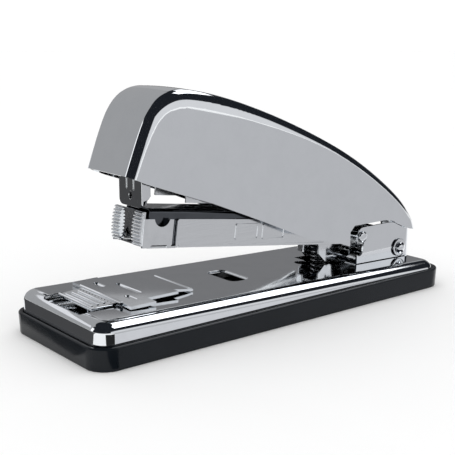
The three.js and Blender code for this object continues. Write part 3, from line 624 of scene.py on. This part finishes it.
def black_moulding():
    """Semi-gloss black moulding with a fine spark-eroded grain and a little dust."""
    finish, tree, shader = new_finish("black_moulding", 0.0)
    shader.inputs["IOR"].default_value = 1.45
    shader.inputs["Specular IOR Level"].default_value = 0.27
    grain = use(tree, moulded_grain)
    dirt = use(tree, settled_dust, Amount=0.2)
    colour = blend_colour(tree, grain.outputs["Mask"], (0.0045, 0.0065, 0.009), (0.006, 0.008, 0.011))
    colour = blend_colour(tree, dirt.outputs["Mask"], colour, (0.05, 0.048, 0.045))
    tree.links.new(colour, shader.inputs["Base Color"])
    rough = spread(tree, grain.outputs["Mask"], 0, 1, 0.2, 0.26)
    rough = maths(tree, "ADD", rough, maths(tree, "MULTIPLY", dirt.outputs["Mask"], 0.3))
    tree.links.new(rough, shader.inputs["Roughness"])
    tree.links.new(bump(tree, grain.outputs["Height"], 0.006), shader.inputs["Normal"])
    return finish


MIRROR = mirror_chrome()
PRESSED = pressed_chrome()
BASE_CHROME = base_chrome()
TURNED = turned_nickel()
DARK = dark_nickel()
SATIN = satin_nickel()
BRIGHT = bright_sheet()
WIRE = spring_wire()
BLADE = hardened_blade()
BLACK = black_moulding()

# ---------- base ----------

SCREW_PLACES = {
    "front_near": (-66, -21), "front_far": (-66, 21), "rear_near": (64, -21), "rear_far": (64, 21),
}


def make_tray():
    """Moulded tray with a rounded lip, a soft lower edge and sunk screw seats."""
    flat = lambda inset, z: [(x, y, z) for x, y in base_outline(inset)]
    lip = 0.55
    rings = [flat(TRAY_DRAFT + 0.5, 0), flat(TRAY_DRAFT + 0.15, 0.14), flat(TRAY_DRAFT, 0.5)]
    for i in range(6):
        angle = math.radians(18 * i)
        rings.append(flat(lip * (1 - math.cos(angle)), TRAY_HEIGHT - lip + lip * math.sin(angle)))
    for i in range(1, 5):
        angle = math.radians(90 - 22.5 * i)
        rings.append(flat(TRAY_WALL - lip + lip * math.cos(angle), TRAY_HEIGHT - lip + lip * math.sin(angle)))
    rings += [flat(TRAY_WALL, TRAY_HEIGHT - 2), flat(TRAY_WALL, TRAY_FLOOR)]
    tray = loft(rings)
    for x, y in SCREW_PLACES.values():
        cut(tray, turned([(3.2, -1), (3.2, 1.5)], (x, y, 0), "Z"), drill((x, y, 0), 1.7, 5, "Z"))
    for x in (-76, 76):
        foot = flat_prism(rounded_rectangle(x - 3, x + 3, -18, 18, 2.8), -1, 0.35)
        cut(tray, foot)
    ease_edges(tray, 0.12, 2, 40)
    return piece(tray, "moulded_tray", "base", BLACK, "base_tray")


def pan(inset, drop, roll_in, roll_down, bottom, steps):
    rings = [[(x, y, bottom) for x, y in base_outline(inset)]]
    for k in range(steps + 1):
        angle = math.radians(90 * k / steps)
        outline = base_outline(inset + roll_in * (1 - math.cos(angle)))
        rings.append([
            (x, y, cover_top(x) - drop - roll_down + roll_down * math.sin(angle)) for x, y in outline
        ])
    return loft(rings)


def sunk(x0, x1, y0, y1, corner, steps):
    """Cutter for an opening pressed into the cover: steps give (growth, depth below the surface)."""
    rings = []
    for grow, depth in steps:
        outline = rounded_rectangle(x0 - grow, x1 + grow, y0 - grow, y1 + grow, max(0.4, corner + grow), 8)
        rings.append([(x, y, cover_top(x) - depth) for x, y in outline])
    return loft(rings)


def make_cover():
    """Chromed cover: rolled edge, pressed finger well, slots and rivet holes."""
    bottom = TRAY_FLOOR + FIT
    cover = pan(COVER_INSET, 0, COVER_ROLL_IN, COVER_ROLL_DOWN, bottom, 14)
    hollow = pan(COVER_INSET + COVER_SHEET, COVER_SHEET, COVER_ROLL_IN - COVER_SHEET,
                 COVER_ROLL_DOWN - COVER_SHEET, bottom - 1, 8)
    cut(cover, hollow)
    top = cover_top(-63)
    pressing = [(-82, top - 3.2), (-62, top - 3.2), (-62, top - 0.4), (-79.6, top - 0.4), (-82, top - 1.9)]
    weld(cover, side_prism(pressing, -13.8, 13.8))
    lip = ((0.12, 0.55), (0.3, 0.25), (0.75, -0.05), (0.75, -3))
    cut(cover, sunk(-81, -63, -12.8, 12.8, 1.6, ((-0.5, 2.2), (-0.1, 1.9), (0, 1.2), *lip)))
    cut(cover, sunk(-12.4, -4.4, -8.2, 8.2, 2, ((0, 4), (0, 0.9), *lip)))
    cut(cover, drill((30.6, 0, 0), 3, 20, "Z"), block(34.2, 47, -8.4, 8.4, 9, 20))
    for side in SIDES:
        cut(cover, block(-57, -44, side * 5 - 1.4, side * 5 + 1.4, 9, 20))
        for x in BRACKET_RIVET_X:
            cut(cover, drill((x, side * BRACKET_RIVET_Y, 0), RIVET_HOLE, 20, "Z", 24))
    ease_edges(cover, 0.22, 3, 40)
    return piece(cover, "chromed_cover", "base", BASE_CHROME, "base_cover")


def make_posts_and_screws():
    """Threaded posts under the cover and pan-head screws up through the tray."""
    for name, (x, y) in SCREW_PLACES.items():
        top = cover_top(x + 2.8) - COVER_SHEET - FIT
        bottom = TRAY_FLOOR + FIT
        outside = [
            (0, bottom), (2.5, bottom), (2.8, bottom + 0.3), (2.8, top - 0.3), (2.5, top), (0, top),
        ]
        post = turned(outside, (x, y, 0), "Z", 40)
        cut(post, turned([(1.6, bottom - 1), (1.6, top - 1.5), (0, top - 1.0)], (x, y, 0), "Z", 32))
        piece(post, f"cover_pillar_{name}", "base", TURNED, f"cover_post_{name}")
        profile = [(0, 0.42), (1.6, 0.4), (2.6, 0.55), (2.88, 0.8), (2.88, 1.3), (1.35, 1.3)]
        for i in range(12):
            z = 1.45 + i * 0.5
            profile += [(1.35, z), (1.12, z + 0.25)]
        profile += [(0.9, 7.45), (0, 7.5)]
        screw = turned(profile, (x, y, 0), "Z", 36)
        cut(screw, block(x - 2.2, x + 2.2, y - 0.35, y + 0.35, 0, 0.9))
        piece(screw, f"pan_screw_{name}", "base", TURNED, f"tray_screw_{name}")


def cheek_outline():
    foot = lambda x: cover_top(x) + FIT
    return [
        (47.4, foot(47.4)), (BRACKET_BACK, foot(BRACKET_BACK)), (BRACKET_BACK, 19.6), (80.2, 20.4),
        *arc(76.6, 21.2, 3.3, 8, 55, 5), (72, 25.6), (69.6, 26.5), (66.5, 27),
        *arc(50.9, 23.5, 3.5, 90, 180, 12),
    ]


def bracket_plan(inset):
    half = BRACKET_HALF - inset
    back = BRACKET_BACK - inset
    corner = 4 - inset
    front = 46.4 - 2 * inset
    return [
        (front, -half), *arc(back - corner, -half + corner, corner, -90, 0, 14),
        *arc(back - corner, half - corner, corner, 0, 90, 14), (front, half),
    ]


def make_bracket():
    """Rear bracket: two cheeks joined round the back, with the stop pin's arc slots."""
    wall = flat_prism(bracket_plan(0), 5, 30)
    cut(wall, flat_prism(bracket_plan(BRACKET_SHEET), 4, 31))
    common(wall, side_prism(cheek_outline(), -20, 20))
    level = lambda x, lift: (x, cover_top(x) + FIT + lift)
    floor = [level(50.5, 0.05), level(65.5, 0.05), level(65.5, BRACKET_SHEET), level(50.5, BRACKET_SHEET)]
    weld(wall, side_prism(floor, -BRACKET_HALF + 0.4, BRACKET_HALF - 0.4))
    low, high = 4, 20
    ends = []
    for angle in (low, high):
        a = math.radians(angle)
        ends.append((PIVOT_X - STOP_RADIUS * math.cos(a), PIVOT_Z + STOP_RADIUS * math.sin(a)))
    slot = arc(PIVOT_X, PIVOT_Z, STOP_RADIUS + STOP_SLOT, 180 - low, 180 - high, 8)
    slot += arc(*ends[1], STOP_SLOT, 180 - high, -high, 10)[1:-1]
    slot += arc(PIVOT_X, PIVOT_Z, STOP_RADIUS - STOP_SLOT, 180 - high, 180 - low, 8)
    slot += arc(*ends[0], STOP_SLOT, -low, -180 - low, 10)[1:-1]
    cut(wall, side_prism(slot, -20, 20))
    cut(wall, drill((PIVOT_X, 0, PIVOT_Z), PIVOT_HOLE))
    for x in BRACKET_RIVET_X:
        for side in SIDES:
            cut(wall, drill((x, side * BRACKET_RIVET_Y, 0), RIVET_HOLE, 20, "Z", 24))
    ease_edges(wall, 0.16, 3, 40)
    return piece(wall, "chromed_bracket", "base", MIRROR, "rear_bracket")


def make_bracket_rivets():
    for side, where in zip(SIDES, ("near", "far")):
        for x, row in zip(BRACKET_RIVET_X, ("front", "rear")):
            upper = cover_top(x - 2.2) + 2 * FIT + BRACKET_SHEET
            lower = cover_top(x + 2.2) - COVER_SHEET - FIT
            profile = [
                (0, lower - 0.8), (1.7, lower - 0.8), (2.2, lower - 0.4), (2.2, lower), (1.2, lower),
                (1.2, upper), (2.2, upper), (2.1, upper + 0.3), (1.6, upper + 0.62), (0.8, upper + 0.78),
                (0, upper + 0.8),
            ]
            rivet = turned(profile, (x, side * BRACKET_RIVET_Y, 0), "Z", 36)
            piece(rivet, f"snap_rivet_{row}_{where}", "base", TURNED,
                  f"bracket_rivet_{row}_{where}")


def make_pivot():
    """Domed pivot rivet with its washers and spacers."""
    face = BRACKET_HALF + 2 * FIT + 0.6
    centre = (PIVOT_X, 0, PIVOT_Z)
    dome = [(2.5 * math.cos(math.radians(15 * i)), 1.2 * math.sin(math.radians(15 * i))) for i in range(7)]
    profile = [(r, -face - h) for r, h in reversed(dome)]
    profile += [(1.6, -face), (1.6, face)] + [(r, face + h) for r, h in dome]
    piece(turned(profile, centre, "Y", 56), "domed_pivot", "base", MIRROR, "pivot_rivet")
    rings = (
        ("washer", 3.8, BRACKET_HALF + FIT, BRACKET_HALF + FIT + 0.6, PRESSED, "chrome"),
        ("spacer", 3.2, 10.3, BRACKET_HALF - BRACKET_SHEET - FIT, TURNED, "nickel_steel"),
    )
    for kind, radius, inner, outer, finish, slot in rings:
        for side, where in zip(SIDES, ("near", "far")):
            low, high = sorted((side * inner, side * outer))
            edge = 0.14
            profile = [
                (0, low), (radius - edge, low), (radius, low + edge), (radius, high - edge),
                (radius - edge, high), (0, high),
            ]
            ring = turned(profile, centre, "Y", 56)
            cut(ring, drill(centre, PIVOT_HOLE))
            piece(ring, f"pivot_{kind}_ring_{where}", "base", finish, f"pivot_{kind}_{where}")


def make_return_spring():
    profile = [
        (0, 3.3), (5.0, 3.3), (5.2, 3.5), (5.2, 6.2), (5.0, 6.4),
        (4.6, 6.4), (4.5, 6.2), (4.5, 4.2), (0, 4.2),
    ]
    seat = turned(profile, (RETURN_SPRING_X, 0, 0), "Z", 56)
    piece(seat, "pressed_spring_seat", "base", SATIN, "spring_seat")
    place = lambda a, b, h: (RETURN_SPRING_X + a, b, RETURN_SPRING_Z + h)
    spring = coil_wire(place, 3.7, 0.42, 12.8, 6.5)
    made = piece(spring, "return_coil", "base", WIRE, "magazine_spring")
    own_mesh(made)


# ---------- anvil ----------

def make_anvil():
    """Sliding anvil: raised pad with folded wings, a ribbed grip and two ways of bending staples."""
    level = cover_top(ANVIL_GROOVE) + ANVIL_RISE
    low = level - 1
    rest = lambda x: cover_top(x) + FIT
    pad = block(-65.2, -42, -14.3, 14.3, low, level)
    weld(pad, block(-65.2, -55, -19.5, 19.5, low, level))
    tail = [
        (-42.5, low), (-42, low), (-33.6, rest(-33.6)),
        (-33.6, rest(-33.6) + 0.7), (-42, level), (-42.5, level),
    ]
    weld(pad, side_prism(tail, -11.6, 11.6))
    back, front = level - 0.25, cover_top(-75.5) + 0.35
    grip = [(-75.5, front - 0.9), (-64.7, back - 0.9), (-64.7, back), (-75.5, front)]
    weld(pad, side_prism(grip, -11.5, 11.5))
    beads = (
        (-65.1, level - 0.35, 0.75, 13.6),
        (-34.3, rest(-34.3) + 0.55, 0.6, 11.4),
        (-75, front - 0.2, 0.62, 11.3),
    )
    for x, z, radius, reach in beads:
        weld(pad, side_prism(arc(x, z, radius, 0, 360, 24)[:-1], -reach, reach))
    for side in SIDES:
        edge = sorted((side * 19.5, side * 18.5))
        weld(pad, block(-65.2, -55, edge[0], edge[1], rest(-65.2), level))
    slope = (back - front) / (75.5 - 64.7)
    for i in range(3):
        x = -73.9 + 2.5 * i
        z = front + (x + 75.5) * slope
        weld(pad, side_prism(arc(x, z - 0.05, 0.55, 0, 360, 20)[:-1], -8.6, 8.6))
    z = front + (-67.2 + 75.5) * slope
    dimple = [(0, z - 0.25), (0.35, z - 0.12), (0.5, z + 0.1), (0.5, z + 1)]
    for i in range(11):
        cut(pad, turned(dimple, (-67.2, -10 + 2 * i, 0), "Z", 16))

    def pocket(x, y0, y1):
        """A trough with round ends and a round bottom, which turns a staple's leg."""
        rings = []
        for grow, rise in ((-0.75, -0.62), (-0.35, -0.5), (-0.1, -0.25), (0.05, 0), (0.05, 1)):
            half = 1 + grow
            outline = rounded_rectangle(x - half, x + half, y0 - grow, y1 + grow, half * 0.9, 5)
            rings.append([(px, py, level + rise) for px, py in outline])
        cut(pad, loft(rings))

    pocket(ANVIL_GROOVE, -7.6, 7.6)
    pocket(ANVIL_GROOVE - ANVIL_THROW, 7.2, 13.6)
    pocket(ANVIL_GROOVE - ANVIL_THROW, -13.6, -7.2)
    ease_edges(pad, 0.16, 3, 35)
    return piece(pad, "sliding_anvil", "anvil", BASE_CHROME, "anvil_plate")


# ---------- magazine ----------

def cad_blank(node):
    """A working copy of a CAD node, in millimetres."""
    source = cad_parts[node]
    copy = bpy.data.objects.new("blank", source.data.copy())
    copy.data.transform(Matrix.Scale(1 / MM, 4))
    workshop.objects.link(copy)
    return copy


def ease_node(node, name, body, finish, width=0.12):
    """Finishes a plain pressing: its own shape, with the edges rounded over."""
    solid = ease_edges(cad_blank(node), width, 2, 30)
    return piece(solid, name, body, finish, node)


def make_magazine_channel():
    """Side plates of the magazine: two embossed frames and a folded lower strip on each side."""
    channel = cad_blank("magazine_channel")
    build = bmesh.new()
    build.from_mesh(channel.data)
    bmesh.ops.remove_doubles(build, verts=build.verts, dist=2e-4)
    bmesh.ops.recalc_face_normals(build, faces=build.faces)
    build.to_mesh(channel.data)
    build.free()
    for side in SIDES:
        for start in (60.5, 74):
            y0, y1 = sorted((side * 8.1, side * 8.6))
            bead = tilted_prism(rounded_rectangle(start, start + 11.5, 3.1, 9.3, 0.8, 5), y0, y1)
            y0, y1 = sorted((side * 8.0, side * 9))
            cut(bead, tilted_prism(rounded_rectangle(start + 0.7, start + 10.8, 3.8, 8.6, 0.4, 5), y0, y1))
            weld(channel, bead)
        y0, y1 = sorted((side * 8.1, side * 8.55))
        weld(channel, tilted_block(16, 111.5, y0, y1, 0.7, 1.55))
    ease_edges(channel, 0.14, 2, 30)
    return piece(channel, "magazine_body", "magazine", BRIGHT, "magazine_channel")


def make_magazine_top():
    """Upper channel of the magazine, with rolled shoulders."""
    half, top = 7.3, 14.4
    section = [(-half, 1.7), (half, 1.7), *arc(half - 1.6, top - 1.6, 1.6, 0, 90, 10),
               *arc(-half + 1.6, top - 1.6, 1.6, 90, 180, 10)]
    cover = loft([[tilted(u, y, v) for y, v in section] for u in (14, 124.4)])
    inner = half - 0.6
    hollow = [(-inner, 0), (inner, 0), *arc(inner - 1, top - 1.6, 1, 0, 90, 8),
              *arc(-inner + 1, top - 1.6, 1, 90, 180, 8)]
    cut(cover, loft([[tilted(u, y, v) for y, v in hollow] for u in (10, 130)]))
    angle = STOP_ANGLE - TILT
    cut(cover, drill(tilted(STOP_RADIUS * math.cos(angle), 0, STOP_RADIUS * math.sin(angle)), 1.8))
    ease_edges(cover, 0.12, 2, 35)
    return piece(cover, "magazine_lid", "magazine", DARK, "magazine_top")


def make_nose_shield():
    """Upright plate over the nose with side flanges, two pressed lines and a small hole."""
    x, back, half, low, high = -52, -51.2, 7.2, 46.3, 62
    corner = 2.2
    face = [
        (-half, high), *arc(-half + corner, low + corner, corner, 180, 270, 12),
        *arc(half - corner, low + corner, corner, 270, 360, 12), (half, high),
    ]
    shield = loft([[(plane, y, z) for y, z in face] for plane in (x, back)])
    flange = [
        (back - 0.2, low + 2.4), (back + 2, low + 2.9), (back + 3, low + 4),
        (back + 3, high), (back - 0.2, high),
    ]
    for side in SIDES:
        y0, y1 = sorted((side * half, side * (half - 0.7)))
        weld(shield, side_prism(flange, y0, y1))
    for y in (-2.2, 2.2):
        line = [(y - 0.3, high + 1), *arc(y, 52.6, 0.3, 180, 360, 8), (y + 0.3, high + 1)]
        cut(shield, loft([[(plane, py, pz) for py, pz in line] for plane in (x - 1, x + 0.45)]))
    hole = [(y, 50.2 + 1.4 * v) for y, v in arc(0, 0, 1, 0, 360, 24)[:-1]]
    cut(shield, loft([[(plane, py, pz) for py, pz in hole] for plane in (x - 1, back + 1)]))
    ease_edges(shield, 0.16, 3, 35)
    return piece(shield, "nose_guard", "magazine", PRESSED, "nose_shield")


def make_stop_pin():
    y = BRACKET_HALF + FIT
    head = [(0, 0.8), (1.4, 0.78), (1.95, 0.62), (2.25, 0.36), (2.3, 0.2), (2.3, 0)]
    profile = [(r, -y - h) for r, h in head] + [(1.5, -y), (1.5, y)] + [(r, y + h) for r, h in reversed(head)]
    centre = (PIVOT_X - STOP_RADIUS * math.cos(STOP_ANGLE), 0, PIVOT_Z + STOP_RADIUS * math.sin(STOP_ANGLE))
    piece(turned(profile, centre, "Y", 48), "riveted_stop_pin", "magazine", MIRROR, "stop_pin")


def make_handle_spring():
    """Coil between the magazine and the handle frame."""
    place = lambda a, b, h: tilted(HANDLE_SPRING_U + a, b, HANDLE_SPRING_V + h)
    spring = coil_wire(place, 3.4, 0.42, 7.8, 4.5)
    made = piece(spring, "handle_coil", "magazine", WIRE, "handle_spring")
    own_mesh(made)


# ---------- loading rail ----------

def make_front_clip():
    """Pull clip: two serrated thumb wings over a plate with an open vee, and wrap-round sides."""
    half, inner = CLIP_HALF, CLIP_HALF - 0.8
    clip = block(CLIP_BACK, CLIP_BACK + 0.9, -half + 0.3, half - 0.3, CLIP_BOTTOM + 0.2, CLIP_TOP)
    vee = [(-3.6, 0), (3.6, 0), (3.6, 2.6), (0, 7.2), (-3.6, 2.6)]
    cut(clip, loft([[(u, y, v) for y, v in vee] for u in (CLIP_BACK - 1, CLIP_BACK + 2)]))
    side = [
        (CLIP_REAR, CLIP_BOTTOM + 0.4), (CLIP_REAR + 8.6, CLIP_BOTTOM + 0.4),
        (CLIP_REAR + 9.4, CLIP_BOTTOM - 0.6), (CLIP_BACK + 0.5, CLIP_BOTTOM - 0.6),
        (CLIP_BACK + 0.5, 11), (CLIP_REAR, 11),
    ]
    walls = side_prism(side, -half, half)
    cut(walls, block(CLIP_REAR - 1, CLIP_BACK + 1, -inner, inner, -5, 20))
    cut(walls, drill((CLIP_REAR + 5, 0, 11.6), 3.3))
    weld(clip, walls)
    weld(clip, block(113, CLIP_BACK - 1.8, -inner - 0.3, inner + 0.3, 0.63, 1.33))
    for sign in SIDES:
        y0, y1 = sorted((sign * (inner + 0.05), sign * (half - 0.2)))
        weld(clip, block(CLIP_BACK - 3.4, CLIP_BACK - 1.9, y0, y1, 0.65, 3))
        weld(clip, block(CLIP_REAR + 0.2, CLIP_REAR + 2, y0, y1, 0.65, 3))
    ribs = 10
    pitch = (CLIP_TOP - CLIP_BOTTOM) / ribs
    face = CLIP_BACK + 1.65
    for sign in SIDES:
        outline = [(CLIP_BACK + 0.3, CLIP_BOTTOM), (face - 0.5, CLIP_BOTTOM)]
        for i in range(ribs):
            v = CLIP_BOTTOM + (i + 0.5) * pitch
            inwards = 0.9 * abs(2 * (i + 0.5) / ribs - 1) ** 3
            outline.append((face - inwards - 0.3, v - 0.46 * pitch))
            for a in (-80, -45, 0, 45, 80):
                angle = math.radians(a)
                outline.append((face - inwards + 0.5 * math.cos(angle), v + 0.34 * pitch * math.sin(angle)))
            outline.append((face - inwards - 0.3, v + 0.46 * pitch))
        outline += [(face - 0.5, CLIP_TOP), (CLIP_BACK + 0.3, CLIP_TOP)]
        y0, y1 = sorted((sign * 4.1, sign * (half - 0.5)))
        weld(clip, side_prism(outline, y0, y1))
    ease_edges(clip, 0.1, 2, 50)
    return piece(onto_magazine(clip), "serrated_clip", "rail", PRESSED, "front_clip")


def make_rail_parts():
    start, end = 27.3, 124.9
    chamfer = 0.2
    rod = []
    stations = (
        (start, 0.8 - chamfer), (start + chamfer, 0.8), (end - chamfer, 0.8), (end, 0.8 - chamfer),
    )
    for u, radius in stations:
        rod.append([tilted(u, y, v) for y, v in arc(0, ROD_V, radius, 0, 360, 24)[:-1]])
    piece(loft(rod), "polished_rod", "rail", TURNED, "pusher_rod")
    ease_node("loading_rail", "folded_rail", "rail", SATIN)
    ease_node("rail_front_block", "nose_block", "rail", SATIN)
    ease_node("rail_rear_block", "end_block", "rail", SATIN)
    ease_node("staple_pusher", "milled_pusher", "pusher", SATIN, 0.1)
    place = lambda a, b, h: tilted(PUSHER_SPRING_U + h, a, ROD_V + b)
    spring = coil_wire(place, 1.7, 0.26, 80.8, 24, 18, 8)
    made = piece(spring, "pusher_coil", "rail", WIRE, "pusher_spring")
    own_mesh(made)


# ---------- handle ----------

def shell_half(x):
    share = (x - SHELL_FRONT) / (SHELL_REAR - SHELL_FRONT)
    return SHELL_HALF_FRONT + (SHELL_HALF_REAR - SHELL_HALF_FRONT) * share


def ease_between(value, start, end):
    share = min(1, max(0, (value - start) / (end - start)))
    return share * share * (3 - 2 * share)


def roll_depth(x):
    """How far the rounded shoulder reaches down the side: deepest at the crest."""
    front, crest, rear = SHELL_ROLL_DEPTHS
    depth = front + (crest - front) * ease_between(x, -61, -42)
    return depth + (rear - crest) * ease_between(x, -28, 36)


def shell_body(inset, steps, crown_steps):
    """The handle's full body: flat sides, oval shoulders and a slightly crowned back."""
    outline = smooth_curve(SHELL_KNOTS, 10)
    outline += [(SHELL_REAR + 0.3, 10), (SHELL_FRONT - 3.2, 10), (SHELL_FRONT - 2.6, 40)]
    across = SHELL_ROLL - inset
    shoulder = [math.radians(90 * k / steps) for k in range(steps + 1)]
    sections = [(-1, angle) for angle in shoulder]
    sections += [(2 * k / crown_steps - 1, None) for k in range(1, crown_steps)]
    sections += [(1, angle) for angle in reversed(shoulder)]
    rings = []
    for share, angle in sections:
        lift = 0 if angle is None else 1 - math.sin(angle)
        crown = SHELL_INSET + SHELL_CROWN * share * share
        distances = [inset + crown + (roll_depth(x) - inset) * lift for x, z in outline]
        ring = []
        for (x, z), (px, pz) in zip(outline, offset_outline(outline, distances)):
            half = shell_half(px) - inset
            if angle is None:
                y = share * (half - across)
            else:
                y = share * (half - across * (1 - math.cos(angle)))
            ring.append((px, y, pz))
        rings.append(ring)
    return loft(rings)


def make_shell():
    """Pressed and polished handle shell, one millimetre thick."""
    shell = shell_body(0, 18, 8)
    cut(shell, shell_body(SHELL_SHEET, 8, 4))
    below = [(90, 0), (-80, 0), (-80, 61.9)]
    cut(shell, side_prism(list(SHELL_EDGE) + below, -40, 40))
    ease_edges(shell, 0.28, 3, 40)
    return piece(shell, "polished_shell", "handle", MIRROR, "handle_shell")


def make_handle_inside():
    ease_node("handle_frame", "folded_frame", "handle", BRIGHT, 0.15)
    ease_node("blade_holder", "blade_block", "handle", SATIN, 0.2)
    ease_node("shell_tie_rod", "tie_bar", "handle", TURNED, 0.15)
    ease_node("driver_blade", "driving_blade", "handle", BLADE, 0.06)


make_tray()
make_cover()
make_posts_and_screws()
make_bracket()
make_bracket_rivets()
make_pivot()
make_return_spring()
ease_node("anvil_detent_spring", "detent_leaf", "base", WIRE, 0.1)
make_anvil()
ease_node("anvil_keeper", "keeper_plate", "anvil", SATIN, 0.12)
make_magazine_channel()
make_magazine_top()
make_nose_shield()
make_stop_pin()
make_handle_spring()
ease_node("spring_stirrup", "folded_stirrup", "magazine", PRESSED, 0.14)
ease_node("guide_post", "guide_tongue", "magazine", PRESSED, 0.14)
make_front_clip()
make_rail_parts()
make_shell()
make_handle_inside()

# ---------- studio ----------

CAMERA_PLACE = (-229.3, -275.9, 111.0)
CAMERA_TURN = (77.49, 0, -38.68)
CAMERA_LENS = 75.05

# azimuth, half width, lowest and highest sine of elevation, brightness
STUDIO_PATCHES = (
    (-63, 25, -0.02, 0.28, 0.72),     # pale window to the near right
    (46, 17, 0.03, 0.45, 0.40),       # grey wall behind
    (48, 14, 0.45, 0.62, 0.09),       # its darker top
    (100, 38, 0.03, 0.78, 0.36),      # grey wall behind to the left
    (148, 10, 0.08, 0.55, 1.2),       # bright gap beside it
    (-6, 42, 0.645, 0.86, 2.4),       # softbox above to the right
)

# upright cards: corners in X, Y and Z, brightness
UPRIGHT_CARDS = {
    "far_card": (((60, 330, 0), (420, 60, 0), (420, 60, 118), (60, 330, 118)), 0.19),
    "low_card": (((-150, 78, 52), (-35, 78, 52), (-35, 78, 70), (-150, 78, 70)), 0.8),
}
# cards on the floor round the tray: corners in X and Y, brightness
FLOOR_CARD_HEIGHT = 0.3
FLOOR_CARDS = {
    "left_floor_card": (
        ((-87.5, -10), (-100, -14), (-1500, -6), (-1500, 1800), (-300, 1800), (-60, 420), (-92, 60)), 0.065,
    ),
    "corner_floor_card": (((-79, -31), (-76, -31), (-55, -73), (-110, -73)), 0.02),
    "near_floor_card": (((-75, -31.5), (260, -31.5), (260, -58), (-61.5, -58)), 0.66),
    "right_floor_card": (((-61, -58.5), (1500, -58.5), (1500, -900), (-30, -900), (-50, -80)), 0.51),
}


def make_camera():
    lens = bpy.data.cameras.new("camera")
    lens.lens = CAMERA_LENS
    lens.clip_start = 0.01
    camera = bpy.data.objects.new("camera", lens)
    camera.location = [c * MM for c in CAMERA_PLACE]
    camera.rotation_euler = [math.radians(a) for a in CAMERA_TURN]
    bpy.context.scene.collection.objects.link(camera)
    bpy.context.scene.camera = camera


def make_floor():
    """Plain pale sweep under the stapler."""
    floor = flat_prism(arc(0, 0, 3000, 0, 360, 72)[:-1], -12, -0.02)
    floor.data.transform(Matrix.Scale(MM, 4))
    floor.name = "pale_floor"
    finish, tree, shader = new_finish("pale_paper", 0.0)
    shader.inputs["Roughness"].default_value = 0.9
    shader.inputs["Specular IOR Level"].default_value = 0.1
    fibres = noise(tree, object_millimetres(tree), 0.01, 2)
    colour = blend_colour(tree, fibres, (0.93, 0.93, 0.93), (0.95, 0.95, 0.95))
    tree.links.new(colour, shader.inputs["Base Color"])
    floor.data.materials.append(finish)
    workshop.objects.unlink(floor)
    bpy.context.scene.collection.objects.link(floor)


def make_card(name, corners, level):
    """A matt studio card that only polished metal sees."""
    mesh = bpy.data.meshes.new(name)
    mesh.from_pydata([[c * MM for c in corner] for corner in corners], [], [tuple(range(len(corners)))])
    card = bpy.data.objects.new(name, mesh)
    bpy.context.scene.collection.objects.link(card)
    finish = bpy.data.materials.new(name)
    finish.use_nodes = True
    tree = finish.node_tree
    tree.nodes.clear()
    light = add(tree, "ShaderNodeEmission")
    light.inputs["Color"].default_value = (level, level, level * 1.03, 1)
    output = add(tree, "ShaderNodeOutputMaterial")
    tree.links.new(light.outputs[0], output.inputs[0])
    mesh.materials.append(finish)
    card.visible_camera = False
    card.visible_diffuse = False
    card.visible_shadow = False
    card.visible_transmission = False


def world_patch(tree, direction, colour, azimuth, half_width, low, high, level):
    """Paints one soft-edged patch of the surroundings: azimuth from +X in degrees, heights as sines."""
    x, y, height, flat = direction
    a = math.radians(azimuth)
    east = maths(tree, "MULTIPLY", x, math.cos(a))
    north = maths(tree, "MULTIPLY", y, math.sin(a))
    turned_to = maths(tree, "DIVIDE", maths(tree, "ADD", east, north), flat)
    wide = math.cos(math.radians(min(179, half_width + 1.5)))
    narrow = math.cos(math.radians(max(1, half_width - 1.5)))
    sides = spread(tree, turned_to, wide, narrow)
    up = spread(tree, height, low - 0.012, low + 0.012)
    down = spread(tree, height, high - 0.012, high + 0.012, 1, 0)
    mask = maths(tree, "MULTIPLY", sides, maths(tree, "MULTIPLY", up, down))
    return blend_colour(tree, mask, colour, (level, level, level * 1.02))


def make_world():
    """White surroundings; polished metal sees a dark room with a softbox, a window and grey walls."""
    world = bpy.data.worlds.new("studio")
    bpy.context.scene.world = world
    world.use_nodes = True
    tree = world.node_tree
    tree.nodes.clear()
    source = add(tree, "ShaderNodeTexCoord")
    split = add(tree, "ShaderNodeSeparateXYZ")
    tree.links.new(source.outputs["Generated"], split.inputs[0])
    height = split.outputs["Z"]
    flat = maths(tree, "SQRT", maths(tree, "SUBTRACT", 1.0001, maths(tree, "MULTIPLY", height, height)), 0)
    direction = (split.outputs["X"], split.outputs["Y"], height, flat)
    shade = blend_colour(tree, spread(tree, height, 0.0, 0.04), (0.9, 0.9, 0.9), (0.012, 0.014, 0.018))
    for patch in STUDIO_PATCHES:
        shade = world_patch(tree, direction, shade, *patch)
    seen = add(tree, "ShaderNodeLightPath")
    colour = blend_colour(tree, seen.outputs["Is Glossy Ray"], (1.1, 1.1, 1.1), shade)
    background = add(tree, "ShaderNodeBackground")
    tree.links.new(colour, background.inputs["Color"])
    output = add(tree, "ShaderNodeOutputWorld")
    tree.links.new(background.outputs[0], output.inputs[0])


make_camera()
make_floor()
make_world()
for name, (corners, level) in UPRIGHT_CARDS.items():
    make_card(name, corners, level)
for name, (corners, level) in FLOOR_CARDS.items():
    make_card(name, [(x, y, FLOOR_CARD_HEIGHT) for x, y in corners], level)
bpy.context.scene.view_settings.view_transform = "Standard"

bpy.data.collections.remove(workshop)
